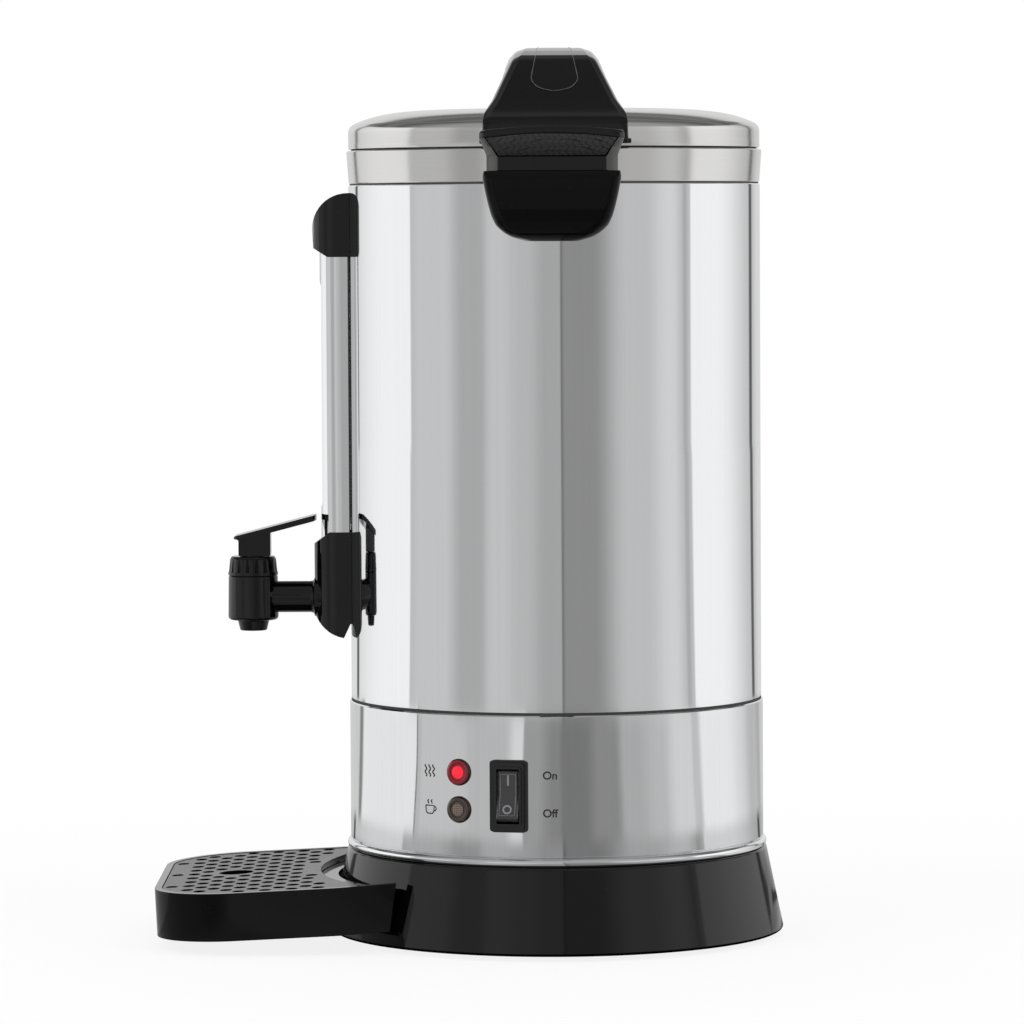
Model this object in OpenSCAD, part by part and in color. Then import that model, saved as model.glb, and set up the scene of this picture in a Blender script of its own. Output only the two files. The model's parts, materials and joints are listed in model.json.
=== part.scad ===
// Hot water urn: a steel tank on a black skirt, with tap, level gauge, lid and drip tray.
// Millimetres, +Z up. The origin is on the tank's axis at table level and the tap faces -X.

/* [Stand] */
// How far the rubber feet stand below the skirt
foot_drop = 2.5; // [1.5:0.5:5]
// Radius of a rubber foot where it meets the table
foot_r = 9; // [6:0.5:12]
// Radius of the circle that the feet sit on
foot_circle_r = 84; // [74:1:90]
// Height of the black skirt
skirt_h = 43; // [38:1:55]
// How much wider the skirt is at its bottom edge, on each side
skirt_flare = 8.6; // [5:0.2:12]
// Wall of the moulded skirt
skirt_wall = 2.6; // [2:0.2:3.6]
// How far the skirt's top edge stands out from the band
skirt_step = 1.8; // [1:0.2:2.6]
// How far the bottom plate is set up inside the skirt
plate_inset = 2; // [1:0.5:4]
// Thickness of the bottom plate
plate_t = 1.2; // [0.8:0.2:2]
// Height of the bright trim ring
trim_h = 4.5; // [3.5:0.5:6]
// How far the trim ring stands out from the band
trim_step = 1.6; // [0.8:0.2:2.4]

/* [Tank and band] */
// Outside radius of the tank
tank_r = 105; // [98:1:115]
// Height of the tank wall between its two seams
tank_h = 263.7; // [245:0.1:320]
// Thickness of the steel sheet
sheet = 1; // [0.8:0.1:1.2]
// Height of the control band
band_h = 70.9; // [68:0.1:90]
// How far the control band stands out from the tank
band_step = 0.8; // [0.6:0.1:1.6]
// Width of the dark groove at each seam
seam = 0.9; // [0.5:0.1:1.5]
// Height of the rim collar
collar_h = 16.5; // [14:0.5:22]
// How far the top edge of the rim collar stands out from the tank
collar_step = 0.9; // [0.5:0.1:1.5]
// Height of the tank floor above the lower seam
floor_rise = 4; // [2:0.5:8]

/* [Lid] */
// Height of the lid's straight side
lid_side = 8.4; // [6:0.1:12]
// Radius of the lid's shoulder
lid_shoulder = 4.5; // [3:0.1:6]
// Rise of the lid's dome inside its shoulder
lid_dome = 7.3; // [5:0.1:9]
// How flat the dome's middle is, as the power of its curve
lid_curve = 6.9; // [4:0.1:9]
// Thickness of the lid seal's flange
seal_t = 0.9; // [0.6:0.1:1.5]
// How deep the lid's liner reaches into the tank
liner_depth = 6; // [4:0.5:10]
// Height of the lid handle's crest above the lid's bottom edge
strap_rise = 51.2; // [46:0.1:60]
// Half length of the lid handle's rounded crest
strap_crest = 48; // [42:1:56]
// Drop of the crest's arc from its middle to its ends
strap_arc_drop = 5.7; // [4:0.1:7]
// Half width of the lid handle at its feet
strap_foot_w = 34.6; // [30:0.2:38]
// Half width of the lid handle's top face at the crest
strap_top_w = 12.5; // [10:0.5:15]
// How far the lid handle's feet stand out from the lid
strap_wrap = 6.4; // [5:0.2:8]
// Thickness of the lid handle at its crest
strap_t = 11.2; // [9:0.2:13]
// Depth of the inlay in the lid handle
inlay_t = 1.6; // [1.2:0.1:2.4]

/* [Side handles] */
// Half width of the grip lip
lip_w = 35; // [32:0.5:38]
// How far the grip lip stands out from the tank
lip_out = 26.5; // [24:0.5:30]
// Half width of the neck under the lip
neck_w = 31.5; // [28:0.5:33]
// How far the neck stands out from the tank
neck_out = 12.5; // [10:0.5:15]
// Height of the lip's top above the tank's rim
lip_rise = 8; // [7:0.5:11]
// Angle of the side handles from the front, towards the tap
handle_turn = 1.2; // [0:0.1:2]
// Height of the shield below the neck
shield_h = 34.4; // [30:0.2:40]

/* [Gauge] */
// Half width of the gauge cap and housing
gauge_w = 13; // [12.5:0.5:16]
// How far the cap and the housing stand out from the tank
gauge_out = 18.6; // [17.5:0.1:22]
// Radius of the rounded front corners of the cap and housing
gauge_corner = 12; // [6:0.5:12]
// Distance of the cap's top below the tank's upper seam
cap_drop = 4.8; // [2:0.2:8]
// Radius of the cap's rounded top
cap_top_r = 18.6; // [17:0.1:21]
// Height of the cap below its rounded top
cap_skirt = 13.9; // [12:0.1:20]
// How far the steel shield stands out from the tank
shield_out = 15; // [14.5:0.1:16]
// Half width of the steel shield
shield_w = 11.4; // [10:0.2:11.8]
// Gap between the steel shield's edges and the tank
shield_off = 1; // [0.2:0.1:1.5]
// Half width of the window in the shield
window_w = 4.5; // [3:0.5:6]
// Radius of the glass tube
glass_r = 5; // [4:0.25:5.5]
// Wall of the glass tube
glass_wall = 1.4; // [1:0.1:1.8]
// Distance of the glass tube's axis from the tank
glass_out = 7.6; // [7:0.1:8]

/* [Tap] */
// Height of the tap's tube above the lower seam
tap_rise = 52.6; // [45:0.1:70]
// Distance of the barrel's axis from the tank
tap_reach = 50.1; // [48:0.1:60]
// Radius of the barrel
barrel_r = 12.9; // [12:0.1:14]
// Radius of the tap's tube
tube_r = 8; // [7.5:0.1:8.5]
// Radius of the water way
water_r = 5; // [4:0.1:5.4]
// Height of the barrel's top above the tube's axis
barrel_up = 11.2; // [10:0.1:14]
// Depth of the barrel's bottom below the tube's axis
barrel_down = 11.7; // [10.5:0.1:14]
// Length of the nozzle
nozzle_h = 5.4; // [4:0.1:8]
// Radius of the nozzle at its mouth
nozzle_r = 7; // [6:0.1:8]
// Height of the ribbed bonnet
bonnet_h = 9.6; // [8.5:0.1:12]
// Number of grooves round the bonnet
bonnet_grooves = 16; // [10:2:24]
// Radius of the tap's stem
stem_r = 3; // [2.5:0.1:3.4]
// Radius of the lever's pin
pin_r = 1.25; // [1:0.05:1.5]
// Height of the lever's pin above the bonnet
pin_rise = 7; // [6:0.1:8]
// Slope of the lever's paddle
paddle_slope = 14.5; // [8:0.1:15]
// Thickness of the lever's paddle
paddle_t = 2.4; // [2:0.1:3.4]
// Half width of the lever's paddle
paddle_w = 10; // [8:0.5:12]
// Gap between the lever's end and the steel shield
paddle_gap = 2.4; // [2.4:0.1:6]

/* [Controls] */
// Angle of the rocker switch from the front, towards the tap
switch_angle = 13.4; // [8:0.1:16]
// Height of the switch's middle above the trim ring
switch_rise = 31.1; // [26:0.1:38]
// Width of the switch's frame
switch_w = 18.3; // [16:0.1:20]
// Height of the switch's frame
switch_h = 36; // [32:0.1:40]
// Width of the rocker
rocker_w = 10.6; // [9:0.1:11.4]
// Height of the rocker
rocker_h = 26.4; // [22:0.1:27]
// Angle between the rocker's two positions
rocker_throw = 18; // [12:1:22]
// Angle of the lamps from the front, towards the tap
lamp_angle = 27.8; // [25:0.1:34]
// Radius of a lamp's lens
lamp_r = 6.7; // [5.5:0.1:7.4]
// Height of the upper lamp above the trim ring
lamp_high = 42.2; // [38:0.1:50]
// Height of the lower lamp above the trim ring
lamp_low = 23.6; // [18:0.1:26]
// Height of the inlet's middle above the trim ring
inlet_rise = 32; // [28:0.5:42]

/* [Drip tray] */
// Length of the tray from the skirt to its outer end
tray_len = 92; // [80:1:110]
// Width of the tray
tray_w = 180; // [170:1:200]
// Height of the tray's wall
tray_h = 24; // [20:0.5:28]
// Radius of the tray's outer corners
tray_corner = 42; // [20:1:60]
// Height of the tray's rim above the table, at the skirt
tray_top = 34.2; // [31:0.2:38]
// Droop of the tray towards its outer end
tray_tilt = 2.6; // [0:0.1:3.5]
// Width of the rim round the grille
tray_rim = 3.6; // [2.6:0.1:5]
// Gap between the tray and the skirt
tray_gap = 2; // [1:0.1:3]
// How far the tray's arms reach past the skirt's edge
tray_arm = 31; // [20:1:40]
// How far the arms draw in towards the skirt at their ends
arm_draw = 7; // [0:0.5:8]
// Thickness of the grille
grille_t = 2.4; // [1.6:0.1:3]
// Radius of the grille's small holes
hole_r = 2.7; // [1.5:0.1:2.8]
// Distance between columns of holes
hole_pitch = 6.65; // [6.4:0.05:9]
// Radius of the grille's finger hole
finger_r = 8.8; // [7:0.1:11]

/* [Clearances] */
// Running clearance of a shaft in its hole, in radius
run = 0.05; // [0.02:0.01:0.09]
// Gap round pieces that seat in one another
seat = 0.1; // [0.05:0.05:0.2]
// Gap round pieces that move past one another
move = 0.4; // [0.3:0.05:0.6]

/* [Hidden] */
$fn = 96;

// A little extra that lets a cut run clear of the face it opens
over = 1;
black = [0.05, 0.05, 0.055];
steel = [0.80, 0.81, 0.82];
dark_steel = [0.45, 0.46, 0.48];
silicone = [0.20, 0.20, 0.21];
brass = [0.78, 0.62, 0.30];

// Heights of the stack, from the table up
trim_z = foot_drop + skirt_h;
band_z = trim_z + trim_h;
seam_z = band_z + band_h;
shoulder_z = seam_z + tank_h;
rim_z = shoulder_z + collar_h;
lid_z = rim_z + seal_t;
floor_z = seam_z + floor_rise;
plate_z = foot_drop + plate_inset;
plate_top = plate_z + plate_t;

// Radii of the stack
band_r = tank_r + band_step;
trim_r = band_r + trim_step;
skirt_top_r = band_r + skirt_step;
skirt_bottom_r = skirt_top_r + skirt_flare;
collar_r = tank_r + collar_step;
neck_r = band_r - sheet - seat;
mouth_neck_r = tank_r - sheet - 0.6;
mouth_r = mouth_neck_r - 0.8;
lid_r = tank_r - 0.15;
function skirt_r(z) = skirt_bottom_r - skirt_flare * (z - foot_drop) / skirt_h;

// Points of an arc, from one angle to another
function arc(x, y, r, from, to, n = 8) =
    [for (i = [0:n]) let (a = from + (to - from) * i / n) [x + r * cos(a), y + r * sin(a)]];

module turned(points) {
    rotate_extrude() polygon(points);
}

// Turn a piece drawn towards +X to the tap side, the front, the back or a place on the band
module to_tap() { rotate([0, 0, 180]) children(); }
module to_back() { rotate([0, 0, 90]) children(); }
module on_band(angle) { rotate([0, 0, -angle - 90]) children(); }

// A cylinder along +X
module rod(r, h, fn = 48) { rotate([0, 90, 0]) cylinder(r = r, h = h, $fn = fn); }

// A rectangle with round corners, about its middle
module rounded(w, h, r) {
    square([w - 2 * r, h], center = true);
    square([w, h - 2 * r], center = true);
    for (x = [-1, 1], y = [-1, 1])
        translate([x * (w / 2 - r), y * (h / 2 - r)]) circle(r, $fn = 32);
}

// A flat shape with two round corners at its far end along +X
module tongue_plan(length, half, r) {
    square([length - r, half], center = false);
    translate([0, -half]) square([length - r, half]);
    translate([0, r - half]) square([length, 2 * (half - r)]);
    for (side = [-1, 1]) translate([length - r, side * (half - r)]) circle(r, $fn = 32);
}

// Stand

foot_turn = 45;
foot_stud_r = 3;
foot_side = 1;
boss_r = 5;
boss_circle_r = skirt_top_r - skirt_wall - boss_r - 2;
boss_turn = 0;
screw_r = 1.6;
flange_in = 16;

module at_feet() { for (i = [0:3]) rotate([0, 0, foot_turn + 90 * i]) translate([foot_circle_r, 0, 0]) children(); }
module at_bosses() { for (i = [0:3]) rotate([0, 0, boss_turn + 90 * i]) translate([boss_circle_r, 0, 0]) children(); }

module rubber_feet() {
    color(silicone) at_feet() turned([[0, 0], [foot_r - foot_side, 0], [foot_r, foot_side],
        [foot_r + foot_side, plate_z], [foot_stud_r, plate_z], [foot_stud_r, plate_top], [foot_stud_r + 0.8, plate_top],
        [foot_stud_r - 0.6, plate_top + 3], [0, plate_top + 3]]);
}

vent_count = 12;
vent_in = 34;
vent_len = 22;
vent_w = 5;

module base_plate() {
    color(dark_steel) translate([0, 0, plate_z]) linear_extrude(plate_t) difference() {
        circle(skirt_r(plate_top) - skirt_wall - move);
        at_feet() circle(foot_stud_r + seat, $fn = 32);
        at_bosses() circle(screw_r + seat, $fn = 32);
        for (i = [0:vent_count - 1]) rotate(360 / vent_count * i) translate([vent_in, 0]) {
            translate([0, -vent_w / 2]) square([vent_len, vent_w]);
            circle(vent_w / 2, $fn = 32);
            translate([vent_len, 0]) circle(vent_w / 2, $fn = 32);
        }
    }
}

screw_head_r = 3.4;
screw_head_h = 1.6;
screw_len = 14;

module base_screws() {
    color(steel) at_bosses() {
        translate([0, 0, plate_z - screw_head_h]) difference() {
            cylinder(r = screw_head_r, h = screw_head_h, $fn = 32);
            translate([0, 0, -over]) cylinder(r = 1.5, h = over + 0.8, $fn = 6);
        }
        translate([0, 0, plate_z]) cylinder(r = screw_r - seat, h = screw_len, $fn = 24);
    }
}

// Tongues of the drip tray pass through slots in the skirt
hook_y = 36;
hook_w = 22;
hook_t = 3;
hook_z = 18;
hook_in = 9;
hook_x = sqrt(pow(skirt_r(hook_z) - hook_in, 2) - hook_y * hook_y);

module hook_slots(gap) {
    for (side = [-1, 1])
        translate([-skirt_bottom_r - tray_gap - 4, side * hook_y - hook_w / 2 - gap, hook_z - gap])
            cube([skirt_bottom_r + tray_gap + 4 - hook_x + gap, hook_w + 2 * gap, hook_t + 2 * gap]);
}

module base_skirt() {
    slant = skirt_flare / skirt_h;
    lip = 1.5;
    color(black) difference() {
        union() {
            turned(concat(arc(skirt_bottom_r - lip - slant * lip, foot_drop + lip, lip, -90, 0, 5),
                arc(skirt_top_r - lip, trim_z - lip, lip, 10, 90, 4),
                [[skirt_top_r - flange_in, trim_z], [skirt_top_r - flange_in, trim_z - skirt_wall],
                [skirt_top_r - skirt_wall, trim_z - skirt_wall],
                [skirt_r(foot_drop + lip) - skirt_wall, foot_drop]]));
            at_bosses() translate([0, 0, plate_top]) cylinder(r = boss_r, h = trim_z - skirt_wall / 2 - plate_top, $fn = 48);
        }
        at_bosses() translate([0, 0, plate_top - over]) cylinder(r = screw_r, h = screw_len + over, $fn = 32);
        hook_slots(move);
    }
}

module trim_ring() {
    bead = trim_h / 2;
    inner = skirt_top_r - flange_in;
    color(steel) turned(concat([[inner, trim_z]], arc(trim_r - bead, trim_z + bead, bead, -90, 90, 10),
        [[inner, band_z]]));
}

// Control band

switch_z = band_z + switch_rise;
inlet_z = band_z + inlet_rise;
switch_body_w = switch_w - 3.4;
switch_body_h = switch_h - 4.6;
lamp_body_r = lamp_r - 1.7;
inlet_w = 27;
inlet_h = 48;
inlet_body_w = 24;
inlet_body_h = 31;

module control_band() {
    cut = 12;
    color(steel) difference() {
        turned([[band_r - 8, band_z], [band_r - 1, band_z], [band_r, band_z + 1], [band_r, seam_z - 0.6],
            [band_r - 0.6, seam_z], [band_r - sheet, seam_z], [band_r - sheet, band_z + sheet],
            [band_r - 8, band_z + sheet]]);
        on_band(switch_angle) translate([band_r - cut, 0, switch_z]) rotate([90, 0, 90])
            linear_extrude(cut * 2) square([switch_body_w + 2 * seat, switch_body_h + 2 * seat], center = true);
        for (z = [lamp_high, lamp_low]) on_band(lamp_angle) translate([band_r - cut, 0, band_z + z])
            rod(lamp_body_r + seat, cut * 2);
        to_back() translate([band_r - cut, 0, inlet_z]) rotate([90, 0, 90])
            linear_extrude(cut * 2) square([inlet_body_w + 2 * seat, inlet_body_h + 2 * seat], center = true);
        to_back() for (side = [-1, 1]) translate([band_r - cut, 0, inlet_z + side * inlet_screw_z])
            rod(screw_r + seat, cut * 2);
    }
}

// Tank

tap_z = seam_z + tap_rise;
shank_r = 8.5;
neck_plug = 7;
cap_screw_z = shoulder_z - cap_drop - 7;
handle_screw_y = 14;
handle_screw_z = shoulder_z - 14;
handle_screw_r = 2;

module at_handles() { for (turn = [-90, 90]) rotate([0, 0, turn - handle_turn]) children(); }
module at_handle_screws() { for (y = [-1, 1]) translate([tank_r, y * handle_screw_y, handle_screw_z]) children(); }

module tank_wall() {
    round_r = 1.2;
    color(steel) difference() {
        turned(concat([[neck_r - sheet, seam_z - neck_plug], [neck_r, seam_z - neck_plug], [neck_r, seam_z + seam]],
            [[tank_r - 0.1, seam_z + seam], [tank_r, seam_z + seam + 0.4]],
            arc(tank_r - round_r, shoulder_z - seam - round_r, round_r, 0, 90, 4),
            [[mouth_neck_r, shoulder_z - seam], [mouth_neck_r, rim_z - sheet - seat],
            [mouth_neck_r - sheet, rim_z - sheet - seat], [mouth_neck_r - sheet, shoulder_z - seam - sheet],
            [tank_r - sheet - round_r, shoulder_z - seam - sheet - 0.2],
            [tank_r - sheet, shoulder_z - seam - sheet - round_r],
            [tank_r - sheet, seam_z + seam + 2], [neck_r - sheet, seam_z + seam + 1]]));
        to_tap() translate([tank_r - 10, 0, tap_z]) rod(shank_r + seat, 20);
        to_tap() translate([tank_r - 10, 0, cap_screw_z]) rod(handle_screw_r + seat, 20);
        at_handles() at_handle_screws() translate([-10, 0, 0])
            rod(handle_screw_r + seat, 20);
    }
}

module tank_floor() {
    rim = 5;
    edge = neck_r - sheet - seat;
    color(steel) turned([[0, floor_z], [edge - 3, floor_z], [edge - sheet, floor_z - 2], [edge - sheet, floor_z - rim],
        [edge, floor_z - rim], [edge, floor_z - 1], [edge - 2, floor_z + sheet], [0, floor_z + sheet]]);
}

module rim_collar() {
    foot = 1.4;
    edge = 1;
    inner = mouth_neck_r + seat;
    color(steel) turned(concat([[inner, shoulder_z]],
        arc(tank_r - 0.3 - foot, shoulder_z + foot, foot, -90, 0, 5),
        arc(collar_r - edge, rim_z - edge, edge, 0, 90, 4),
        [[mouth_r, rim_z], [mouth_r, rim_z - sheet], [inner, rim_z - sheet]]));
}

// Side handles, drawn towards +X

shield_top = rim_z - 11.3;
pocket_r = lid_r + strap_wrap + 0.6;
lip_top = rim_z + lip_rise;

// One thin slice of a side handle: standing out from the tank, half wide, at a height
module handle_slice(out, half, z, corner) {
    translate([0, 0, z]) linear_extrude(0.2) translate([tank_r - 14, 0]) tongue_plan(out + 14, half, corner);
}

module handle_body() {
    neck_low = shield_top - 1;
    neck_top = shield_top + 7.2;
    lip_low = lip_top - 3.6;
    color(black) difference() {
        union() {
            hull() {
                handle_slice(lip_out - 1.6, lip_w - 0.8, lip_top - 0.2, 4);
                handle_slice(lip_out, lip_w, lip_top - 1.2, 4);
                handle_slice(lip_out, lip_w, lip_low, 4);
            }
            hull() {
                handle_slice(lip_out, lip_w, lip_low, 4);
                handle_slice(neck_out, neck_w, neck_top, 8);
            }
            translate([0, 0, neck_low]) linear_extrude(neck_top - neck_low + 0.1) translate([tank_r - 14, 0])
                tongue_plan(neck_out + 14, neck_w, 8);
            hull() {
                handle_slice(lip_out - 4.4, lip_w - 2.4, shield_top - 0.4, 6);
                handle_slice(lip_out - 1.5, lip_w - 1.5, shield_top - 3, 6.5);
                handle_slice(lip_out - 1, lip_w - 2.6, shield_top - shield_h * 0.28, 7);
                handle_slice(lip_out - 1.5, lip_w - 4, shield_top - shield_h * 0.46, 8);
                handle_slice(lip_out - 3, lip_w - 5.7, shield_top - shield_h * 0.64, 9);
                handle_slice(lip_out - 5.5, lip_w - 8, shield_top - shield_h * 0.79, 9);
                handle_slice(lip_out - 10, lip_w - 12.6, shield_top - shield_h * 0.92, 9);
                handle_slice(lip_out - 16.5, lip_w - 20, shield_top - shield_h, 8);
            }
        }
        translate([0, 0, shield_top - shield_h - over]) cylinder(r = tank_r + seat, h = shield_h + 60);
        translate([0, 0, shoulder_z]) cylinder(r = collar_r + seat, h = 60);
        translate([0, 0, rim_z]) cylinder(r = pocket_r, h = 60);
        at_handle_screws() translate([-over, 0, 0]) rod(handle_screw_r, 10 + over);
    }
}

module handle_front() { rotate([0, 0, -90 - handle_turn]) handle_body(); }
module handle_rear() { rotate([0, 0, 90 - handle_turn]) handle_body(); }

// A pan head screw along +X whose head is inside the tank wall
module tank_screw(length, aside) {
    head = 3.6;
    head_h = 2.2;
    bow = tank_r - sheet - sqrt(pow(tank_r - sheet, 2) - pow(aside + head, 2));
    color(steel) translate([-sheet - bow - head_h, 0, 0]) {
        difference() {
            rod(head, head_h, 32);
            translate([-over, 0, 0]) rod(1.6, over + 1.2, 6);
        }
        rod(handle_screw_r - seat, length + head_h + bow, 24);
    }
}

module handle_screws() {
    at_handles() at_handle_screws() tank_screw(9, handle_screw_y);
}

// Gauge, drawn towards +X

cap_mid = shoulder_z - cap_drop - cap_top_r;
cap_low = cap_mid - cap_skirt;
housing_top = tap_z + 33.5;
housing_bevel = 6.2;
cap_bevel = 4.6;
bevel_in = 8;
socket = 4;
glass_low = housing_top - 14;
glass_high = cap_low + 20;
seal_wall = 2.2;
seal_h = 5;
shield_corner = min(gauge_corner, shield_w) - 0.2;

// The gauge's outline seen from above, from inside the tank to its front
module gauge_plan(out, half, corner) {
    translate([tank_r - 14, 0]) tongue_plan(out + 14, half, corner);
}

// A side view drawn as distance out and height, as wide as the gauge
module side_view(points) {
    rotate([90, 0, 0]) linear_extrude(2 * gauge_w + 2 * over, center = true) polygon(points);
}

module off_tank(gap = seat) { translate([0, 0, seam_z]) cylinder(r = tank_r + gap, h = tank_h); }
module at_glass(z) { translate([tank_r + glass_out, 0, z]) children(); }

module shield_space(gap, low, high) {
    translate([0, 0, low]) linear_extrude(high - low) gauge_plan(shield_out + gap, shield_w + gap, shield_corner);
}

module gauge_cap() {
    inside = tank_r - 12;
    front = tank_r + gauge_out;
    color(black) to_tap() difference() {
        intersection() {
            side_view(concat([[inside, cap_low], [front - bevel_in, cap_low], [front - 0.6, cap_low + cap_bevel]],
                arc(front - cap_top_r, cap_mid, cap_top_r, 0, 90, 12), [[inside, cap_mid + cap_top_r]]));
            translate([0, 0, cap_low - over]) linear_extrude(cap_top_r + cap_skirt + 2 * over)
                gauge_plan(gauge_out, gauge_w, gauge_corner);
        }
        off_tank();
        shield_space(seat, cap_low - over, cap_low + cap_bevel + socket);
        at_glass(cap_low) cylinder(r = glass_r + seal_wall, h = glass_high - cap_low + 0.2, $fn = 48);
        translate([tank_r - over, 0, cap_screw_z]) rod(handle_screw_r, 8 + over);
    }
}

module gauge_shield() {
    low = housing_top - socket;
    high = cap_low + cap_bevel + socket - seat;
    color(steel) to_tap() difference() {
        shield_space(0, low, high);
        translate([0, 0, low - over]) linear_extrude(high - low + 2 * over)
            gauge_plan(shield_out - sheet, shield_w - sheet, shield_corner - sheet);
        off_tank(shield_off);
        translate([tank_r + shield_out - 3, 0, (housing_top + cap_low) / 2]) rotate([90, 0, 90]) linear_extrude(6)
            rounded(2 * window_w, cap_low - housing_top - 24, window_w - 0.01);
    }
}

spigot_r = tube_r - 1;
spigot_len = 6;
fillet = 2;

// The outside of the housing, which the tap's tube ends on
module housing_form() {
    inside = tank_r - 12;
    front = tank_r + gauge_out;
    belly = gauge_out + 1;
    sag = 1.3;
    intersection() {
        side_view(concat([[inside, housing_top], [inside, tap_z - 13.4], [tank_r, tap_z - 13.4]],
            arc(tank_r, tap_z - sag, belly, -80, -acos(gauge_out / belly), 8),
            [[front, housing_top - housing_bevel], [front - bevel_in, housing_top]]));
        translate([0, 0, tap_z - 30]) linear_extrude(housing_top - tap_z + 32)
            gauge_plan(gauge_out, gauge_w, gauge_corner);
    }
}

module gauge_housing() {
    color(black) to_tap() difference() {
        housing_form();
        off_tank();
        shield_space(seat, housing_top - socket - seat, housing_top + over);
        at_glass(glass_low) cylinder(r = glass_r + seal_wall, h = housing_top - glass_low + over, $fn = 48);
        at_glass(tap_z) cylinder(r = glass_r - glass_wall, h = glass_low - tap_z, $fn = 48);
        translate([tank_r - over, 0, tap_z]) rod(shank_r + seat, 9 + over);
        translate([tank_r, 0, tap_z]) rod(water_r, gauge_out + over);
        translate([tank_r + gauge_out - spigot_len - seat, 0, tap_z]) rod(spigot_r + seat, spigot_len + over);
    }
}

module sight_tube() {
    color([0.85, 0.92, 0.95]) to_tap() at_glass(glass_low) difference() {
        cylinder(r = glass_r, h = glass_high - glass_low, $fn = 48);
        translate([0, 0, -over]) cylinder(r = glass_r - glass_wall, h = glass_high - glass_low + 2 * over, $fn = 48);
    }
}

module tube_seals() {
    outer = glass_r + seal_wall - seat;
    color(silicone) to_tap() for (low = [glass_low, glass_high - seal_h]) at_glass(low) difference() {
        cylinder(r = outer, h = seal_h, $fn = 48);
        translate([0, 0, -over]) cylinder(r = glass_r + run, h = seal_h + 2 * over, $fn = 48);
    }
}

module gauge_screw() {
    to_tap() translate([tank_r, 0, cap_screw_z]) tank_screw(7, 0);
}

// Shank that carries the gauge and the tap through the tank wall

gasket_r = 14;
gasket_t = 1.8;
shank_in = 14;

module tap_shank() {
    color(brass) to_tap() translate([tank_r - shank_in, 0, tap_z]) difference() {
        rod(shank_r, shank_in + 8.9);
        translate([-over, 0, 0]) rod(water_r + 0.4, shank_in + 12);
    }
}

module shank_gasket() {
    inner = tank_r - sheet;
    color(silicone) to_tap() difference() {
        intersection() {
            translate([inner - 10, 0, tap_z]) rod(gasket_r, 12);
            translate([0, 0, tap_z - 20]) cylinder(r = inner - run, h = 40);
        }
        translate([0, 0, tap_z - 20 - over]) cylinder(r = inner - gasket_t, h = 40 + 2 * over);
        translate([inner - 12, 0, tap_z]) rod(shank_r + run, 16);
    }
}

module shank_nut() {
    nut_t = 6;
    face = sqrt(pow(tank_r - sheet - gasket_t, 2) - gasket_r * gasket_r) - run;
    color(brass) to_tap() translate([face - nut_t, 0, tap_z]) difference() {
        rod(gasket_r, nut_t, 6);
        translate([-over, 0, 0]) rod(shank_r + run, nut_t + 2 * over);
    }
}

// Tap, drawn about the barrel's axis

tap_x = tank_r + tap_reach;
bonnet_z = tap_z + barrel_up + 0.2;
bonnet_top = bonnet_z + bonnet_h;
bore_r = barrel_r - 3.4;
seat_z = tap_z - water_r - 1.5;
outlet_r = 4.2;
neck_thread_r = barrel_r - 1.9;
bush_r = 6;
bush_flange_r = bush_r + 2.4;
bush_flange_t = 2;
roof_t = 4;

module at_tap(z) { to_tap() translate([tap_x, 0, z]) children(); }

module tap_barrel() {
    low = tap_z - barrel_down;
    top = tap_z + barrel_up;
    color(black) difference() {
        union() {
            at_tap(0) turned(concat([[0, low - nozzle_h]], arc(nozzle_r - 0.8, low - nozzle_h + 0.8, 0.8, -90, 0, 3),
                [[nozzle_r + 0.9, low - 0.9]], arc(nozzle_r + 1.8, low - 0.9, 0.9, 170, 90, 4),
                arc(barrel_r - 2, low + 2, 2, -90, 0, 5),
                [[barrel_r - 0.3, top - 0.6], [barrel_r - 0.7, top], [neck_thread_r, top],
                [neck_thread_r, top + bonnet_h - roof_t - 0.6], [0, top + bonnet_h - roof_t - 0.6]]));
            to_tap() translate([tank_r + gauge_out, 0, tap_z]) translate([-spigot_len, 0, 0])
                rod(spigot_r, spigot_len + fillet);
            to_tap() difference() {
                translate([tank_r + gauge_out, 0, tap_z]) {
                    rod(tube_r, tap_reach - gauge_out);
                    rotate([0, 90, 0]) turned(concat([[0, -spigot_len], [tube_r + fillet, -spigot_len]],
                        arc(tube_r + fillet, fillet, fillet, -90, -180, 4), [[0, fillet]]));
                }
                housing_form();
            }
        }
        at_tap(seat_z) cylinder(r = bore_r, h = 60, $fn = 64);
        at_tap(low - nozzle_h - over) cylinder(r = outlet_r, h = 60, $fn = 48);
        to_tap() translate([tank_r, 0, tap_z]) rod(water_r, tap_reach);
    }
}

module tap_bonnet() {
    outer = barrel_r - 0.5;
    crown = barrel_r - 1.1;
    lip_h = 1.5;
    color(black) at_tap(bonnet_z) difference() {
        turned([[0, 0], [barrel_r - 0.1, 0], [barrel_r - 0.1, lip_h], [outer, lip_h], [crown, bonnet_h - 1.6],
            [crown - 0.6, bonnet_h - 0.4], [crown - 1.1, bonnet_h], [0, bonnet_h]]);
        translate([0, 0, -over]) cylinder(r = neck_thread_r + seat, h = bonnet_h - roof_t + over, $fn = 64);
        translate([0, 0, -over]) cylinder(r = bush_r + run, h = bonnet_h + 2 * over, $fn = 64);
        for (i = [0:bonnet_grooves - 1]) rotate([0, 0, 360 / bonnet_grooves * (i + 0.5)])
            translate([outer + 0.15, 0, lip_h]) cylinder(r = 0.9, h = bonnet_h, $fn = 16);
    }
}

// The bush turns in the bonnet's roof and its flange keeps it from being drawn out
bush_low = bonnet_top - roof_t - bush_flange_t - move / 2;

module stem_bush() {
    color(silicone) at_tap(bush_low) difference() {
        union() {
            cylinder(r = bush_flange_r, h = bush_flange_t, $fn = 64);
            cylinder(r = bush_r, h = bush_flange_t + roof_t - move / 2, $fn = 64);
        }
        translate([0, 0, -over]) cylinder(r = stem_r + run, h = roof_t + bush_flange_t + 2 * over, $fn = 48);
    }
}

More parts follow.
